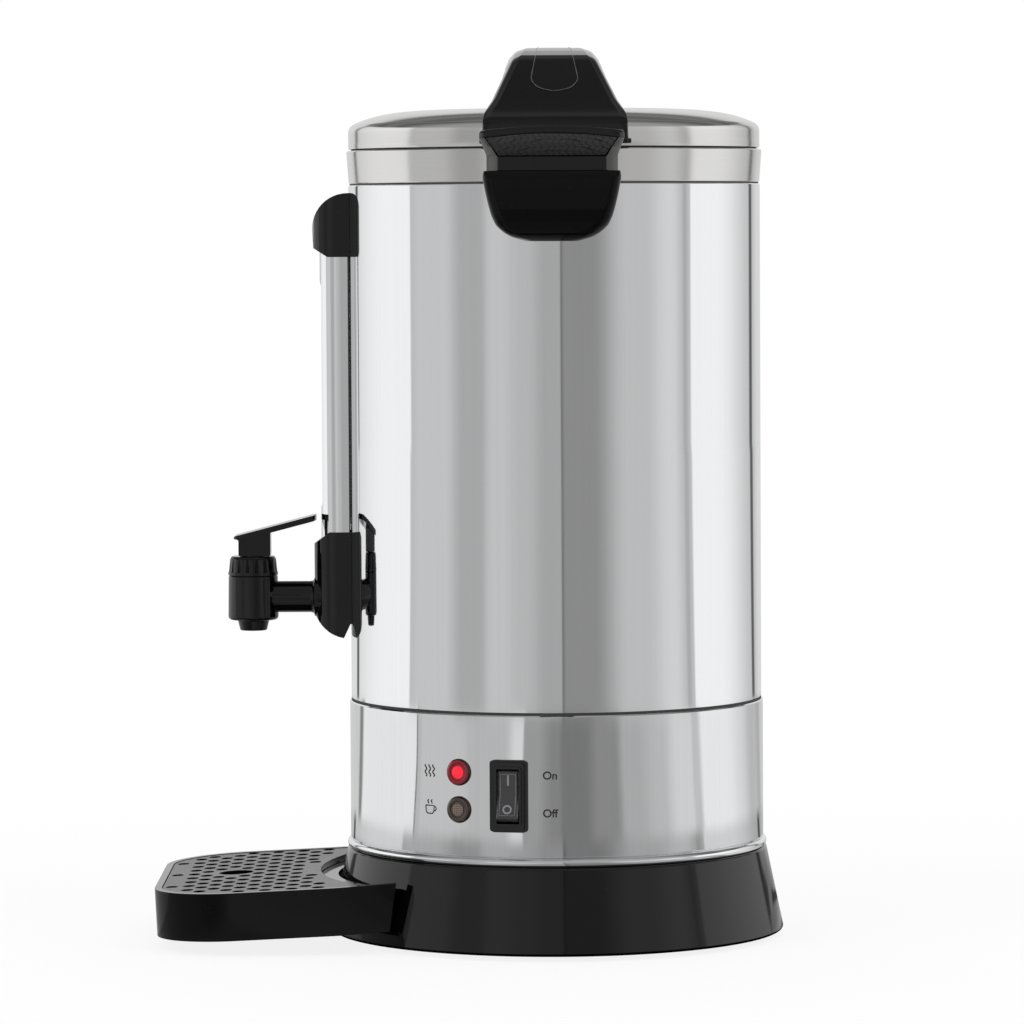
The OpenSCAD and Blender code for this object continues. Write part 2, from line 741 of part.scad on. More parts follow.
pin_z = bonnet_top + pin_rise;
stem_top = pin_z + 2.6;
seat_h = 4;
seat_r = bore_r - 2;
collar_z = seat_z + seat_h + seat;

module tap_stem() {
    tip = seat_z + 1.4;
    color(dark_steel) at_tap(tip) difference() {
        union() {
            cylinder(r = stem_r, h = stem_top - tip, $fn = 48);
            translate([0, 0, collar_z - tip]) cylinder(r = stem_r + 2.4, h = 1.2, $fn = 48);
        }
        translate([0, 0, pin_z - tip]) rotate([90, 0, 0]) cylinder(r = pin_r, h = 20, center = true, $fn = 32);
    }
}

module tap_seat() {
    color([0.55, 0.55, 0.56]) at_tap(seat_z + run) turned([[0, 0], [seat_r - 1.6, 0], [seat_r, 1.2], [seat_r, seat_h - 0.8],
        [seat_r - 0.8, seat_h], [stem_r + run, seat_h], [stem_r + run, 1.4 - run], [0, 1.4 - run]]);
}

// The spring is one round wire wound between the stem's collar and the bush
wire_r = 0.6;
spring_r = stem_r + 1.6;
spring_turns = 4;
spring_steps = 8;
spring_low = collar_z + 1.2 + wire_r + run;
spring_rise = bush_low - wire_r - run - spring_low;
spring_rings = spring_turns * spring_steps;
function spring_point(i) = let (a = 360 * i / spring_steps)
    [spring_r * cos(a), spring_r * sin(a), spring_low + spring_rise * i / spring_rings];
function spring_ring(i, sides) = let (a = 360 * i / spring_steps)
    [for (k = [0:sides - 1]) let (b = 360 * k / sides)
        spring_point(i) + wire_r * [cos(b) * cos(a), cos(b) * sin(a), sin(b)]];
echo(spring_self_gap = spring_rise / spring_turns - 2 * wire_r);

module tap_spring() {
    sides = 6;
    points = [for (i = [0:spring_rings]) each spring_ring(i, sides)];
    walls = [for (i = [0:spring_rings - 1], k = [0:sides - 1]) let (a = i * sides, n = (k + 1) % sides)
        each [[a + k, a + sides + k, a + sides + n], [a + k, a + sides + n, a + n]]];
    ends = [for (k = [1:sides - 2]) each [[0, k, k + 1],
        [spring_rings * sides, spring_rings * sides + k + 1, spring_rings * sides + k]]];
    color(steel) at_tap(0) polyhedron(points = points, faces = concat(walls, ends));
}

lever_half = 6.6;
block_out = 7.2;
block_in = 9.2;
block_gap = 0.15;
pin_len = 2 * lever_half - 2.6;

module lever_pin() {
    color(steel) at_tap(pin_z) rotate([90, 0, 0]) cylinder(r = pin_r, h = pin_len, center = true, $fn = 32);
}

// Side view of the lever: distance from the barrel's axis towards the tank is negative here
swing_r = tap_reach - shield_out - paddle_gap;
paddle_mid = pin_rise + 3.5;

module tap_lever() {
    slope = tan(paddle_slope);
    tail = block_out + 2.4;
    function line(x, lift) = paddle_mid - x * slope + lift;
    color(black) at_tap(bonnet_top) difference() {
        union() {
            intersection() {
                rotate([90, 0, 0]) linear_extrude(2 * paddle_w, center = true) polygon([
                    [-swing_r, line(-swing_r, 0)], [-swing_r, line(-swing_r, paddle_t)],
                    [tail - 0.8, line(tail - 0.8, paddle_t)], [tail, line(tail, paddle_t - 0.5)],
                    [tail, line(tail, 1.3)], [tail - 0.4, line(tail, 0.9)], [block_out, line(tail, 0.9)],
                    [0, line(0, 0)]]);
                linear_extrude(60) intersection() {
                    circle(swing_r);
                    union() {
                        translate([-swing_r, -paddle_w]) square([swing_r, 2 * paddle_w]);
                        translate([0, -paddle_w]) square([tail - 4, 2 * paddle_w]);
                        translate([0, 4 - paddle_w]) square([tail, 2 * paddle_w - 8]);
                        for (side = [-1, 1]) translate([tail - 4, side * (paddle_w - 4)]) circle(4, $fn = 32);
                    }
                }
            }
            rotate([90, 0, 0]) linear_extrude(2 * lever_half, center = true) polygon([[-block_in, block_gap + 0.6],
                [-block_in + 0.6, block_gap], [block_out - 0.6, block_gap], [block_out, block_gap + 0.6],
                [block_out, line(block_out, 1)], [-block_in, line(-block_in, 1)]]);
        }
        translate([0, 0, pin_rise]) rotate([90, 0, 0]) cylinder(r = pin_r + run, h = pin_len + 0.6, center = true, $fn = 32);
        slot = stem_r + 2.6;
        translate([-slot, -stem_r - move, -over]) cube([2 * slot, 2 * (stem_r + move), pin_rise + 3.2 + over]);
    }
}

// Heat, under the tank floor

heat_t = 5;
heat_r = 74;
heat_z = floor_z - heat_t;
main_ring_r = 58;
main_tube_r = 4;
warm_ring_r = 36;
warm_tube_r = 3;
stud_r = 3;
bar_z = heat_z - 2 * main_tube_r;

module heater_plate() {
    color([0.70, 0.71, 0.72]) translate([0, 0, heat_z]) difference() {
        turned([[0, 0], [heat_r - 1.5, 0], [heat_r, 1.5], [heat_r, heat_t], [0, heat_t]]);
        translate([0, 0, -over]) cylinder(r = stud_r + seat, h = heat_t + 2 * over, $fn = 32);
    }
}

// A tubular element: an open ring with a cold end block turned down at each side
module element(ring_r, tube_r, gap, leg) {
    translate([0, 0, heat_z - tube_r]) {
        rotate([0, 0, gap / 2]) rotate_extrude(angle = 360 - gap) translate([ring_r, 0]) circle(tube_r, $fn = 48);
        for (side = [-1, 1]) rotate([0, 0, side * gap / 2]) translate([ring_r, 0, 0]) {
            translate([0, 0, -leg]) cylinder(r = tube_r * 1.2, h = leg + tube_r * 0.6, $fn = 48);
            translate([0, 0, -leg - 8]) cylinder(r = tube_r * 0.4, h = 8 + over, $fn = 24);
        }
    }
}

module heating_element() { color(dark_steel) element(main_ring_r, main_tube_r, 24, 14); }
module keep_warm_element() { color(dark_steel) rotate([0, 0, 180]) element(warm_ring_r, warm_tube_r, 30, 12); }

module thermostat() {
    color([0.85, 0.82, 0.70]) translate([17, 0, heat_z]) {
        translate([0, 0, -2]) cylinder(r = 9, h = 2, $fn = 48);
        translate([0, 0, -12]) cylinder(r = 8, h = 10, $fn = 48);
        for (y = [-4, 4]) translate([-3, y - 0.4, -20]) cube([6, 0.8, 9]);
    }
}

module thermal_cutout() {
    color([0.80, 0.80, 0.78]) translate([-17, 0, heat_z]) {
        translate([-7, -9, -1.5]) cube([14, 18, 1.5]);
        translate([0, 9, -5]) rotate([90, 0, 0]) cylinder(r = 3.5, h = 18, $fn = 32);
        for (y = [-15, 9]) translate([0, y + 6, -5]) rotate([90, 0, 0]) cylinder(r = 0.8, h = 6, $fn = 16);
    }
}

bar_t = 3;

module clamp_bar() {
    color(dark_steel) translate([0, 0, bar_z - bar_t]) linear_extrude(bar_t) difference() {
        rounded(14, 2 * main_ring_r + 12, 5);
        circle(stud_r + seat, $fn = 32);
    }
}

nut_h = 5;

module clamp_stud() {
    color(steel) translate([0, 0, bar_z - bar_t - nut_h - 4])
        cylinder(r = stud_r, h = floor_z - bar_z + bar_t + nut_h + 4, $fn = 32);
}

module clamp_nut() {
    color(steel) translate([0, 0, bar_z - bar_t - nut_h]) difference() {
        cylinder(r = 5.8, h = nut_h, $fn = 6);
        translate([0, 0, -over]) cylinder(r = stud_r + run, h = nut_h + 2 * over, $fn = 32);
    }
}

module terminal_block() {
    ways = 4;
    pitch = 11;
    color([0.90, 0.90, 0.86]) translate([0, 52, plate_top]) difference() {
        union() {
            translate([-ways * pitch / 2, -9, 0]) cube([ways * pitch, 18, 9]);
            translate([-ways * pitch / 2, -5, 0]) cube([ways * pitch, 10, 15]);
        }
        for (i = [0:ways - 1]) translate([(i - (ways - 1) / 2) * pitch, 0, 0]) {
            translate([0, 0, 6]) cylinder(r = 2.4, h = 20, $fn = 24);
            translate([0, 0, 4.5]) rotate([90, 0, 0]) cylinder(r = 2, h = 40, center = true, $fn = 24);
        }
    }
}

// Rocker switch, drawn towards +X

frame_out = 2.2;
frame_edge = 1.2;
well_w = rocker_w + 2 * move;
well_r = rocker_h / 2 + move;
pivot_out = -2.2;
pivot_r = 1.5;

module at_switch() { on_band(switch_angle) translate([band_r, 0, switch_z]) children(); }

// Extrude a shape drawn as sideways and up, from one distance out to another
module outward(from, to) { translate([from, 0, 0]) rotate([90, 0, 90]) linear_extrude(to - from) children(); }

module switch_frame() {
    color(black) difference() {
        union() {
            at_switch() outward(-1, frame_out - frame_edge) rounded(switch_w, switch_h, 2);
            at_switch() outward(0, frame_out) rounded(switch_w - 2 * frame_edge, switch_h - 2 * frame_edge, 1.4);
            at_switch() outward(0, frame_out + 0.9) rounded(well_w + 2.2, 2 * well_r + 2.2, 1.6);
        }
        at_switch() outward(pivot_out - 8, 20) square([well_w, 2 * well_r], center = true);
        cylinder(r = band_r + run, h = seam_z, $fn = 360);
    }
    color(black) at_switch() difference() {
        outward(-22, frame_out - 0.4) square([switch_body_w, switch_body_h], center = true);
        outward(pivot_out - 8, 20) square([well_w, 2 * well_r], center = true);
        translate([pivot_out, 0, 0]) rotate([90, 0, 0])
            cylinder(r = pivot_r + run, h = well_w + 2.4, center = true, $fn = 32);
    }
}

// The rocker's two faces meet in a shallow valley and its ends are round about the pivot
module switch_rocker() {
    half = rocker_throw / 2;
    end_r = rocker_h / 2;
    face = 4.4;
    back = -4;
    rise = atan2(face + end_r * tan(half), end_r);
    color([0.07, 0.07, 0.075]) at_switch() translate([pivot_out, 0, 0]) rotate([0, -half, 0]) {
        rotate([90, 0, 0]) linear_extrude(rocker_w, center = true) intersection() {
            circle(end_r, $fn = 96);
            polygon([[back, -end_r * 0.55], [0, -end_r], [end_r, -end_r], [face + end_r * tan(half), -end_r], [face, 0],
                [face + end_r * tan(half), end_r], [0, end_r], [back, end_r * 0.55]]);
        }
        rotate([90, 0, 0]) cylinder(r = pivot_r, h = well_w + 1.8, center = true, $fn = 32);
    }
}

module switch_blades() {
    color(brass) at_switch() for (z = [-10, 0, 10]) translate([-31, -2.4, z - 0.4]) cube([9, 4.8, 0.8]);
}

// Lamps, drawn towards +X

lens_out = 3;
lens_edge = 1;

module lamp_lens(z) {
    bulge = (lamp_r * lamp_r + pow(lens_out - lens_edge, 2)) / (2 * (lens_out - lens_edge));
    on_band(lamp_angle) translate([0, 0, band_z + z]) difference() {
        union() {
            translate([band_r, 0, 0]) rotate([0, 90, 0]) turned(concat([[0, -1], [lamp_r, -1]],
                arc(0, lens_out - bulge, bulge, asin((bulge - lens_out + lens_edge) / bulge), 90, 8)));
        }
        translate([0, 0, -20]) cylinder(r = band_r + run, h = 40, $fn = 360);
    }
}

module lamp_heating() { color([0.85, 0.05, 0.06]) lamp_lens(lamp_high); }
module lamp_warm() { color([0.35, 0.22, 0.16]) lamp_lens(lamp_low); }

module lamp_holders() {
    depth = 20;
    color([0.20, 0.20, 0.20]) for (z = [lamp_high, lamp_low]) on_band(lamp_angle) difference() {
        union() {
            translate([band_r - depth, 0, band_z + z]) rod(lamp_body_r, depth);
            for (y = [-2, 2]) translate([band_r - depth - 7, y - 0.3, band_z + z - 1.4]) cube([8, 0.6, 2.8]);
        }
        translate([0, 0, band_z]) difference() {
            cylinder(r = band_r + 10, h = band_h);
            translate([0, 0, -over]) cylinder(r = band_r - run, h = band_h + 2 * over);
        }
    }
}

// Inlet at the back, drawn towards +X

inlet_out = 3.4;
inlet_depth = 22;
inlet_screw_z = 20;
recess_w = 16;
recess_h = 24;
recess_depth = 16;

module at_inlet() { to_back() translate([band_r, 0, inlet_z]) children(); }

module inlet_socket() {
    color(black) difference() {
        union() {
            difference() {
                at_inlet() outward(-3, inlet_out) rounded(inlet_w, inlet_h, 4);
                cylinder(r = band_r + run, h = seam_z, $fn = 360);
            }
            at_inlet() outward(-inlet_depth, inlet_out - 1) square([inlet_body_w, inlet_body_h], center = true);
        }
        at_inlet() outward(inlet_out - recess_depth, inlet_out + over) intersection() {
            square([recess_w, recess_h], center = true);
            rotate(45) square((recess_w + recess_h) / sqrt(2) - 4, center = true);
        }
        at_inlet() for (side = [-1, 1]) translate([-6, 0, side * inlet_screw_z]) rod(screw_r, 20, 32);
        at_inlet() for (pin = [[0, 7], [-4.5, -5], [4.5, -5]]) translate([-inlet_depth - over, pin[0] - 1, pin[1] - 2])
            cube([inlet_depth, 2, 4]);
    }
}

module inlet_pins() {
    color(brass) at_inlet() for (pin = [[0, 7], [-4.5, -5], [4.5, -5]])
        translate([-inlet_depth - 7, pin[0] - 1 + seat, pin[1] - 2 + seat])
            cube([inlet_depth + 7 - 1, 2 - 2 * seat, 4 - 2 * seat]);
}

module inlet_screws() {
    color(steel) at_inlet() for (side = [-1, 1]) translate([inlet_out, 0, side * inlet_screw_z]) {
        difference() {
            rod(2.8, 1.4, 32);
            translate([0.6, 0, 0]) rod(1.2, 2, 6);
        }
        translate([-9, 0, 0]) rod(screw_r - seat, 9, 24);
    }
}

// Lid

shoulder_turn = 64;
dome_edge = lid_r - lid_shoulder * (1 - cos(shoulder_turn));
lid_top = lid_z + lid_side + lid_shoulder * sin(shoulder_turn) + lid_dome;
dome_steps = 14;
function dome_z(r) = lid_top - lid_dome * pow(r / dome_edge, lid_curve);

// Outline of the lid from its rim to the middle of its dome, with a gap all round
function lid_outline(gap) = concat(
    arc(lid_r - lid_shoulder, lid_z + lid_side, lid_shoulder + gap, 0, shoulder_turn, 6),
    [for (i = [1:dome_steps]) let (r = dome_edge * (1 - pow(i / dome_steps, 1.5))) [r, dome_z(r) + gap]]);

liner_r = mouth_r - 4;
flange_r = mouth_r - 0.8;

module lid_pan() {
    color(steel) difference() {
        lid_shell();
        at_lid_screws() translate([0, 0, lid_z + 2]) cylinder(r = screw_r + seat, h = 40, $fn = 24);
    }
}

module lid_shell() {
    turned(concat([[flange_r - 1, lid_z], [lid_r - 0.6, lid_z], [lid_r, lid_z + 0.6]], lid_outline(0),
        [for (i = [len(lid_outline(0)) - 1:-1:0]) lid_outline(-sheet)[i]],
        [[lid_r - sheet, lid_z + sheet], [flange_r - 1, lid_z + sheet]]));
}

module lid_liner() {
    low = rim_z - liner_depth;
    top = lid_z + 2 * sheet;
    color(steel) turned([[0, low], [liner_r - 2, low], [liner_r, low + 2], [liner_r, top - sheet], [flange_r, top - sheet],
        [flange_r, top], [liner_r - sheet, top], [liner_r - sheet, low + 2], [liner_r - 2.4, low + sheet],
        [0, low + sheet]]);
}

module lid_seal() {
    inner = liner_r + 0.35;
    color(silicone) turned([[inner, rim_z - 4.4], [flange_r - 1, rim_z - 4.4], [flange_r - 0.4, rim_z - 3],
        [flange_r - 0.4, rim_z], [tank_r - 1.6, rim_z], [tank_r - 1.6, lid_z], [inner, lid_z]]);
}

// Lid handle: a strap along Y, hulled from slices across it

strap_top = lid_z + strap_rise;
crest_low = strap_top - strap_arc_drop;
foot_low = lid_z + 1;
foot_top = lid_z + lid_side + 3.4;
strap_r = lid_r + strap_wrap;
foot_tab = 1.2;

// One slice: place along Y, height, half width of its top face, width and drop of its shoulder, and its spread
module strap_slice(y, z, half, bulge, drop, spread) {
    side = half + bulge;
    translate([0, y, 0]) rotate([90, 0, 0]) linear_extrude(0.2, center = true) polygon([[-half, z], [half, z],
        [half + bulge * 0.6, z - drop * 0.3], [side, z - drop], [side + spread, z - drop - 5],
        [-side - spread, z - drop - 5], [-side, z - drop], [-half - bulge * 0.6, z - drop * 0.3]]);
}

module strap_form() {
    ends = 6;
    hull() {
        for (i = [-ends:ends]) strap_slice(strap_crest * i / ends,
            strap_top - strap_arc_drop * pow(i / ends, 2), strap_top_w + 4 * abs(i) / ends, 10 - 3.5 * abs(i) / ends, 6.4, 2.4);
        for (side = [-1, 1]) {
            strap_slice(side * (strap_r - 25), foot_top + 11.2, strap_foot_w - 9, 5.4, 3.6, 1.6);
            strap_slice(side * (strap_r - 13), foot_top + 4.2, strap_foot_w - 4.8, 4, 2.6, 0.6);
            strap_slice(side * (strap_r - 6.4), foot_top, strap_foot_w - 5, 4, 2.2, 1);
            strap_slice(side * strap_r, foot_top - 4, strap_foot_w - 6.6, 5.6, 1.6, 1);
            translate([0, side * (strap_r - 5), foot_low]) linear_extrude(2)
                square([2 * strap_foot_w, 10], center = true);
        }
    }
}

// The hand space under the strap
module strap_space() {
    under = strap_top - strap_t;
    bend = 190;
    reach = asin((strap_crest - 2) / bend);
    rotate([90, 0, 90]) linear_extrude(120, center = true) polygon(concat(
        [[-strap_crest - 27, lid_z], [-strap_crest - 27, crest_low - strap_t - 18]],
        arc(0, under - bend, bend, 90 + reach, 90 - reach, 8),
        [[strap_crest + 27, crest_low - strap_t - 18], [strap_crest + 27, lid_z]]));
}

module lid_space(gap) {
    turned(concat([[0, lid_z - 20], [lid_r + gap, lid_z - 20]], lid_outline(gap)));
}

inlay_end = 67;
inlay_end_r = 11.6;
inlay_waist = 7.8;

module inlay_plan(gap) {
    for (turn = [0, 180]) rotate(turn) {
        translate([0, inlay_end]) circle(inlay_end_r + gap, $fn = 48);
        polygon([[-inlay_waist - gap, 0], [inlay_waist + gap, 0], [inlay_end_r - 2.2 + gap, strap_crest],
            [inlay_end_r + gap, inlay_end], [-inlay_end_r - gap, inlay_end], [-inlay_end_r + 2.2 - gap, strap_crest]]);
    }
}

lid_screw_y = 88;
lid_screw_x = 18;

module at_lid_screws() { for (x = [-1, 1], y = [-1, 1]) translate([x * lid_screw_x, y * lid_screw_y, 0]) children(); }

module lid_handle() {
    color(black) difference() {
        intersection() {
            union() {
                strap_form();
                for (side = [-1, 1]) translate([-strap_foot_w - foot_tab, side * (strap_r - 12) - 4, foot_low])
                    cube([2 * (strap_foot_w + foot_tab), 8, 2.6]);
            }
            translate([0, 0, lid_z]) cylinder(r = strap_r, h = strap_rise + over);
        }
        lid_space(seat);
        strap_space();
        at_lid_screws() translate([0, 0, lid_screw_under]) cylinder(r = screw_r, h = 5.2, $fn = 24);
        difference() {
            translate([0, 0, lid_z]) linear_extrude(strap_rise + over) inlay_plan(0.15);
            translate([0, 0, -inlay_t]) strap_form();
        }
    }
}

module handle_inlay() {
    color([0.09, 0.09, 0.095]) difference() {
        intersection() {
            strap_form();
            translate([0, 0, lid_z]) linear_extrude(strap_rise + over) inlay_plan(0);
        }
        translate([0, 0, -inlay_t + run]) strap_form();
    }
}

lid_screw_under = dome_z(norm([lid_screw_x, lid_screw_y]) + 3.4) - sheet;

module lid_screws() {
    color(steel) at_lid_screws() {
        translate([0, 0, lid_screw_under - 2]) difference() {
            cylinder(r = 3.4, h = 2, $fn = 32);
            translate([0, 0, -over]) cylinder(r = 1.4, h = over + 1, $fn = 6);
        }
        translate([0, 0, lid_screw_under - 0.1]) cylinder(r = screw_r - seat, h = 5, $fn = 24);
    }
}

// Drip tray, drawn about the middle of its rim at the skirt

tray_x = -skirt_r(tray_top) - tray_gap;
tray_floor = 2.4;
tray_wall = 2.6;
ledge_drop = 3;
ledge_t = 2.2;
grille_edge = 9.2;
grille_arc_r = 150;
grille_seat = 1.8;

module at_tray() { translate([tray_x, 0, tray_top]) rotate([0, -tray_tilt, 0]) children(); }

module tray_plan(inset) {
    half = tray_w / 2;
    straight = tray_len - tray_corner;
    reach = tray_arm + 20;
    narrow = half - inset - arm_draw * reach / tray_arm;
    polygon([[-straight, inset - half], [0, inset - half], [reach, -narrow], [reach, narrow], [0, half - inset],
        [-straight, half - inset]]);
    translate([inset - tray_len, tray_corner - half]) square([tray_corner + over, 2 * (half - tray_corner)]);
    for (side = [-1, 1]) translate([-straight, side * (half - tray_corner)]) circle(tray_corner - inset);
}

// The side of the grille's inner edge that faces the skirt
module skirt_side(grow) {
    translate([grille_arc_r - grille_edge, 0]) circle(grille_arc_r + grow, $fn = 192);
}

module tub_plan(inset, edge) {
    difference() {
        tray_plan(inset);
        skirt_side(edge);
    }
}

module tray_pan() {
    tip = tray_arm;
    slant = skirt_flare / skirt_h * tray_h;
    color(black) union() {
        difference() {
            at_tray() translate([0, 0, -tray_h]) linear_extrude(tray_h) tray_plan(0);
            at_tray() translate([0, 0, tray_floor - tray_h]) linear_extrude(tray_h)
                tub_plan(tray_rim + grille_seat, grille_seat);
            at_tray() translate([0, 0, -grille_t]) linear_extrude(tray_h) tub_plan(tray_rim, 0);
            at_tray() translate([0, 0, -ledge_drop]) linear_extrude(tray_h) intersection() {
                tray_plan(tray_rim);
                skirt_side(over);
            }
            at_tray() translate([0, 0, -tray_h - over]) linear_extrude(tray_h + over - ledge_drop - ledge_t) intersection() {
                tray_plan(tray_wall);
                skirt_side(-tray_wall);
            }
            at_tray() rotate([90, 0, 0]) linear_extrude(tray_w + 10, center = true) polygon([[tip, over],
                [tip - slant, -tray_h - over], [tip + 60, -tray_h - over], [tip + 60, over]]);
            turned([[0, -over], [skirt_r(-over) + tray_gap, -over], [skirt_r(60) + tray_gap, 60], [0, 60]]);
        }
        intersection() {
            hook_slots(0);
            at_tray() translate([0, 0, -tray_h]) linear_extrude(tray_h) skirt_side(grille_seat / 2);
        }
    }
}

grille_gap = 0.4;
row_pitch = 16.2;
hole_edge = 4;
arc_edge = 8.2;
grille_x = -tray_len + 17.3;
finger_x = -53.2;
dimple_t = 0.5;

// How far a place on the grille is inside the tray's rim
function rim_inside(x, y) = let (dx = -tray_len + tray_corner - x, dy = abs(y) - tray_w / 2 + tray_corner)
    (dx > 0 && dy > 0 ? tray_corner - norm([dx, dy]) : tray_corner - max(dx, dy)) - tray_rim - grille_gap;
// How far a place on the grille is from its edge by the skirt
function arc_inside(x, y) = norm([x - grille_arc_r + grille_edge, y]) - grille_arc_r;

module tray_grille() {
    columns = floor((tray_len - 17.3 - grille_edge + 2) / hole_pitch);
    rows = ceil(tray_w / row_pitch / 2);
    top = grille_t - 0.3;
    color([0.13, 0.13, 0.14]) at_tray() translate([0, 0, run - grille_t]) difference() {
        linear_extrude(top) difference() {
            tub_plan(tray_rim + grille_gap, grille_gap);
            translate([finger_x, 0]) circle(finger_r, $fn = 48);
            for (i = [0:columns], k = [-rows:rows]) {
                x = grille_x + hole_pitch * i;
                y = row_pitch * (k + (i % 2) / 2);
                if (rim_inside(x, y) > hole_edge && arc_inside(x, y) > arc_edge
                    && norm([x - finger_x, y]) > finger_r + hole_r + 1.5) translate([x, y]) circle(hole_r, $fn = 24);
            }
        }
        for (y = [-49, 0, 49]) translate([grille_x - 8.6, y, top - dimple_t]) cylinder(r = hole_r, h = 2, $fn = 24);
        for (y = [-28, 28]) translate([-13.5, y, top - dimple_t]) cylinder(r = hole_r, h = 2, $fn = 24);
    }
}

rubber_feet();
base_plate();
base_screws();
base_skirt();
trim_ring();
control_band();
tank_wall();
tank_floor();
rim_collar();
handle_front();
handle_rear();
handle_screws();
gauge_cap();
gauge_shield();
gauge_housing();
sight_tube();
tube_seals();
gauge_screw();
tap_shank();
shank_gasket();
shank_nut();
tap_barrel();
tap_bonnet();
stem_bush();
tap_stem();
tap_seat();
tap_spring();
lever_pin();
tap_lever();
heater_plate();
heating_element();
keep_warm_element();
thermostat();
thermal_cutout();
clamp_bar();
clamp_stud();
clamp_nut();
terminal_block();
switch_frame();
switch_rocker();
switch_blades();
lamp_heating();
lamp_warm();
lamp_holders();
inlet_socket();
inlet_pins();
inlet_screws();
lid_pan();
lid_liner();
lid_seal();
lid_handle();
handle_inlay();
lid_screws();
tray_pan();
tray_grille();
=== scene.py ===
import sys
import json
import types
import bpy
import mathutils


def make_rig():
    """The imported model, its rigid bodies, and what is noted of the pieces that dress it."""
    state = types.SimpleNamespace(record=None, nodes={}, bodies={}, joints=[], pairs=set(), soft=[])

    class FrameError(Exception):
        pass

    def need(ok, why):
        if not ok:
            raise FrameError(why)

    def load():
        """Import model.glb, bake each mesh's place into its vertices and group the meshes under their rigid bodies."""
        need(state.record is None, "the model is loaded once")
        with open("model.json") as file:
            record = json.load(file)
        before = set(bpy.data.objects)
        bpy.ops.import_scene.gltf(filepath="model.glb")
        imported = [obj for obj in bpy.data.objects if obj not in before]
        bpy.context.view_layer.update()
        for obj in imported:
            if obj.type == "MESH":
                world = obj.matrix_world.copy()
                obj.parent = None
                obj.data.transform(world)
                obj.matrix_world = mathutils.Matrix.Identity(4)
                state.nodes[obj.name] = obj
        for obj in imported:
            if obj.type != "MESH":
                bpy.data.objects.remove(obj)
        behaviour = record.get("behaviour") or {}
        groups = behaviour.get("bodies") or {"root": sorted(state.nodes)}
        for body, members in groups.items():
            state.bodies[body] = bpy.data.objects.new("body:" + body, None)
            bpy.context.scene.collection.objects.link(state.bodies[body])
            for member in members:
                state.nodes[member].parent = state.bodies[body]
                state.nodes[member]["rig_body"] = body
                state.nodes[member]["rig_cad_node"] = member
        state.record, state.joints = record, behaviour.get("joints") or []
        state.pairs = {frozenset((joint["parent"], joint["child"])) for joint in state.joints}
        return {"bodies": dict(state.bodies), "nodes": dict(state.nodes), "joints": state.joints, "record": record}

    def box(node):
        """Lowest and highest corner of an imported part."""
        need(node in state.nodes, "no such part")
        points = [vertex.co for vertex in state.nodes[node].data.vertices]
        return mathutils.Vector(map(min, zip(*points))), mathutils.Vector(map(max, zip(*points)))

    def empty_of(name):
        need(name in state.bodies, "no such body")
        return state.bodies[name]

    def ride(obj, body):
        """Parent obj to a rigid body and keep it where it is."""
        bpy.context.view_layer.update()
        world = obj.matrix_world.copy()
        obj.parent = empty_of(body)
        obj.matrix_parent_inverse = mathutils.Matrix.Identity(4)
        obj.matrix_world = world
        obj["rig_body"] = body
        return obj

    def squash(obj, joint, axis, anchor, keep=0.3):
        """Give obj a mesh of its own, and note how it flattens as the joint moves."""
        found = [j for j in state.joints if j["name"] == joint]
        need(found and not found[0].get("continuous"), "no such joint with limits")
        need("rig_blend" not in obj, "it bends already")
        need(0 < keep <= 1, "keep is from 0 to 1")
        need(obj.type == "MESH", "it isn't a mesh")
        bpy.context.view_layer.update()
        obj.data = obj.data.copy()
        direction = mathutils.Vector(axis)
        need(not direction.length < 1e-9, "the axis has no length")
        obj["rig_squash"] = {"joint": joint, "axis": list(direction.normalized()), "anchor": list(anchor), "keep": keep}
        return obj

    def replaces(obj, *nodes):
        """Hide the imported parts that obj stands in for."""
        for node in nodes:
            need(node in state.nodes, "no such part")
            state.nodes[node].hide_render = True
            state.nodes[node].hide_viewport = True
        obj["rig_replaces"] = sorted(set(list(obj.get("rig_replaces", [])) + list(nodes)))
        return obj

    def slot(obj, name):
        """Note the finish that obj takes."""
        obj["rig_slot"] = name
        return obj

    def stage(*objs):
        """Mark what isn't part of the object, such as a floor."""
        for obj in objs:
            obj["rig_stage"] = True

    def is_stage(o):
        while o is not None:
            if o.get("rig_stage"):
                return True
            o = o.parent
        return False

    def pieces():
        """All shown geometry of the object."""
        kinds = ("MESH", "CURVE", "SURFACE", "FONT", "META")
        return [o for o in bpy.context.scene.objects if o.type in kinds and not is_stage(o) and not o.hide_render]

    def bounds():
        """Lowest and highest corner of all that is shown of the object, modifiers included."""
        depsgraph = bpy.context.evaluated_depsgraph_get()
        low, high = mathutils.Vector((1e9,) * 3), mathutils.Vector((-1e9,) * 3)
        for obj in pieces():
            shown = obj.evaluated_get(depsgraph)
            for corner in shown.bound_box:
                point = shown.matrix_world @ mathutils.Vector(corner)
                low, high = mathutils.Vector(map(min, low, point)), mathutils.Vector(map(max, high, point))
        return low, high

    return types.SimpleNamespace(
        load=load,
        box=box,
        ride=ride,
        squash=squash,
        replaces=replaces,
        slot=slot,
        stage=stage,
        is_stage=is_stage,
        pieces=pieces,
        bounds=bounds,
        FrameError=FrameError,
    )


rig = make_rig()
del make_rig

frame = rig.load()

import json
import math
from functools import partialmethod

import bmesh
import bpy
from bpy.props import FloatProperty, FloatVectorProperty, PointerProperty
from mathutils import Matrix, Vector

bl_info = {
    "name": "Hot Water Urn",
    "version": (1, 0, 0),
    "blender": (4, 5, 0),
    "location": "3D View > Sidebar > Urn",
    "description": "Dresses the packed hot water urn with finished pieces, materials and a studio",
    "category": "Object",
}

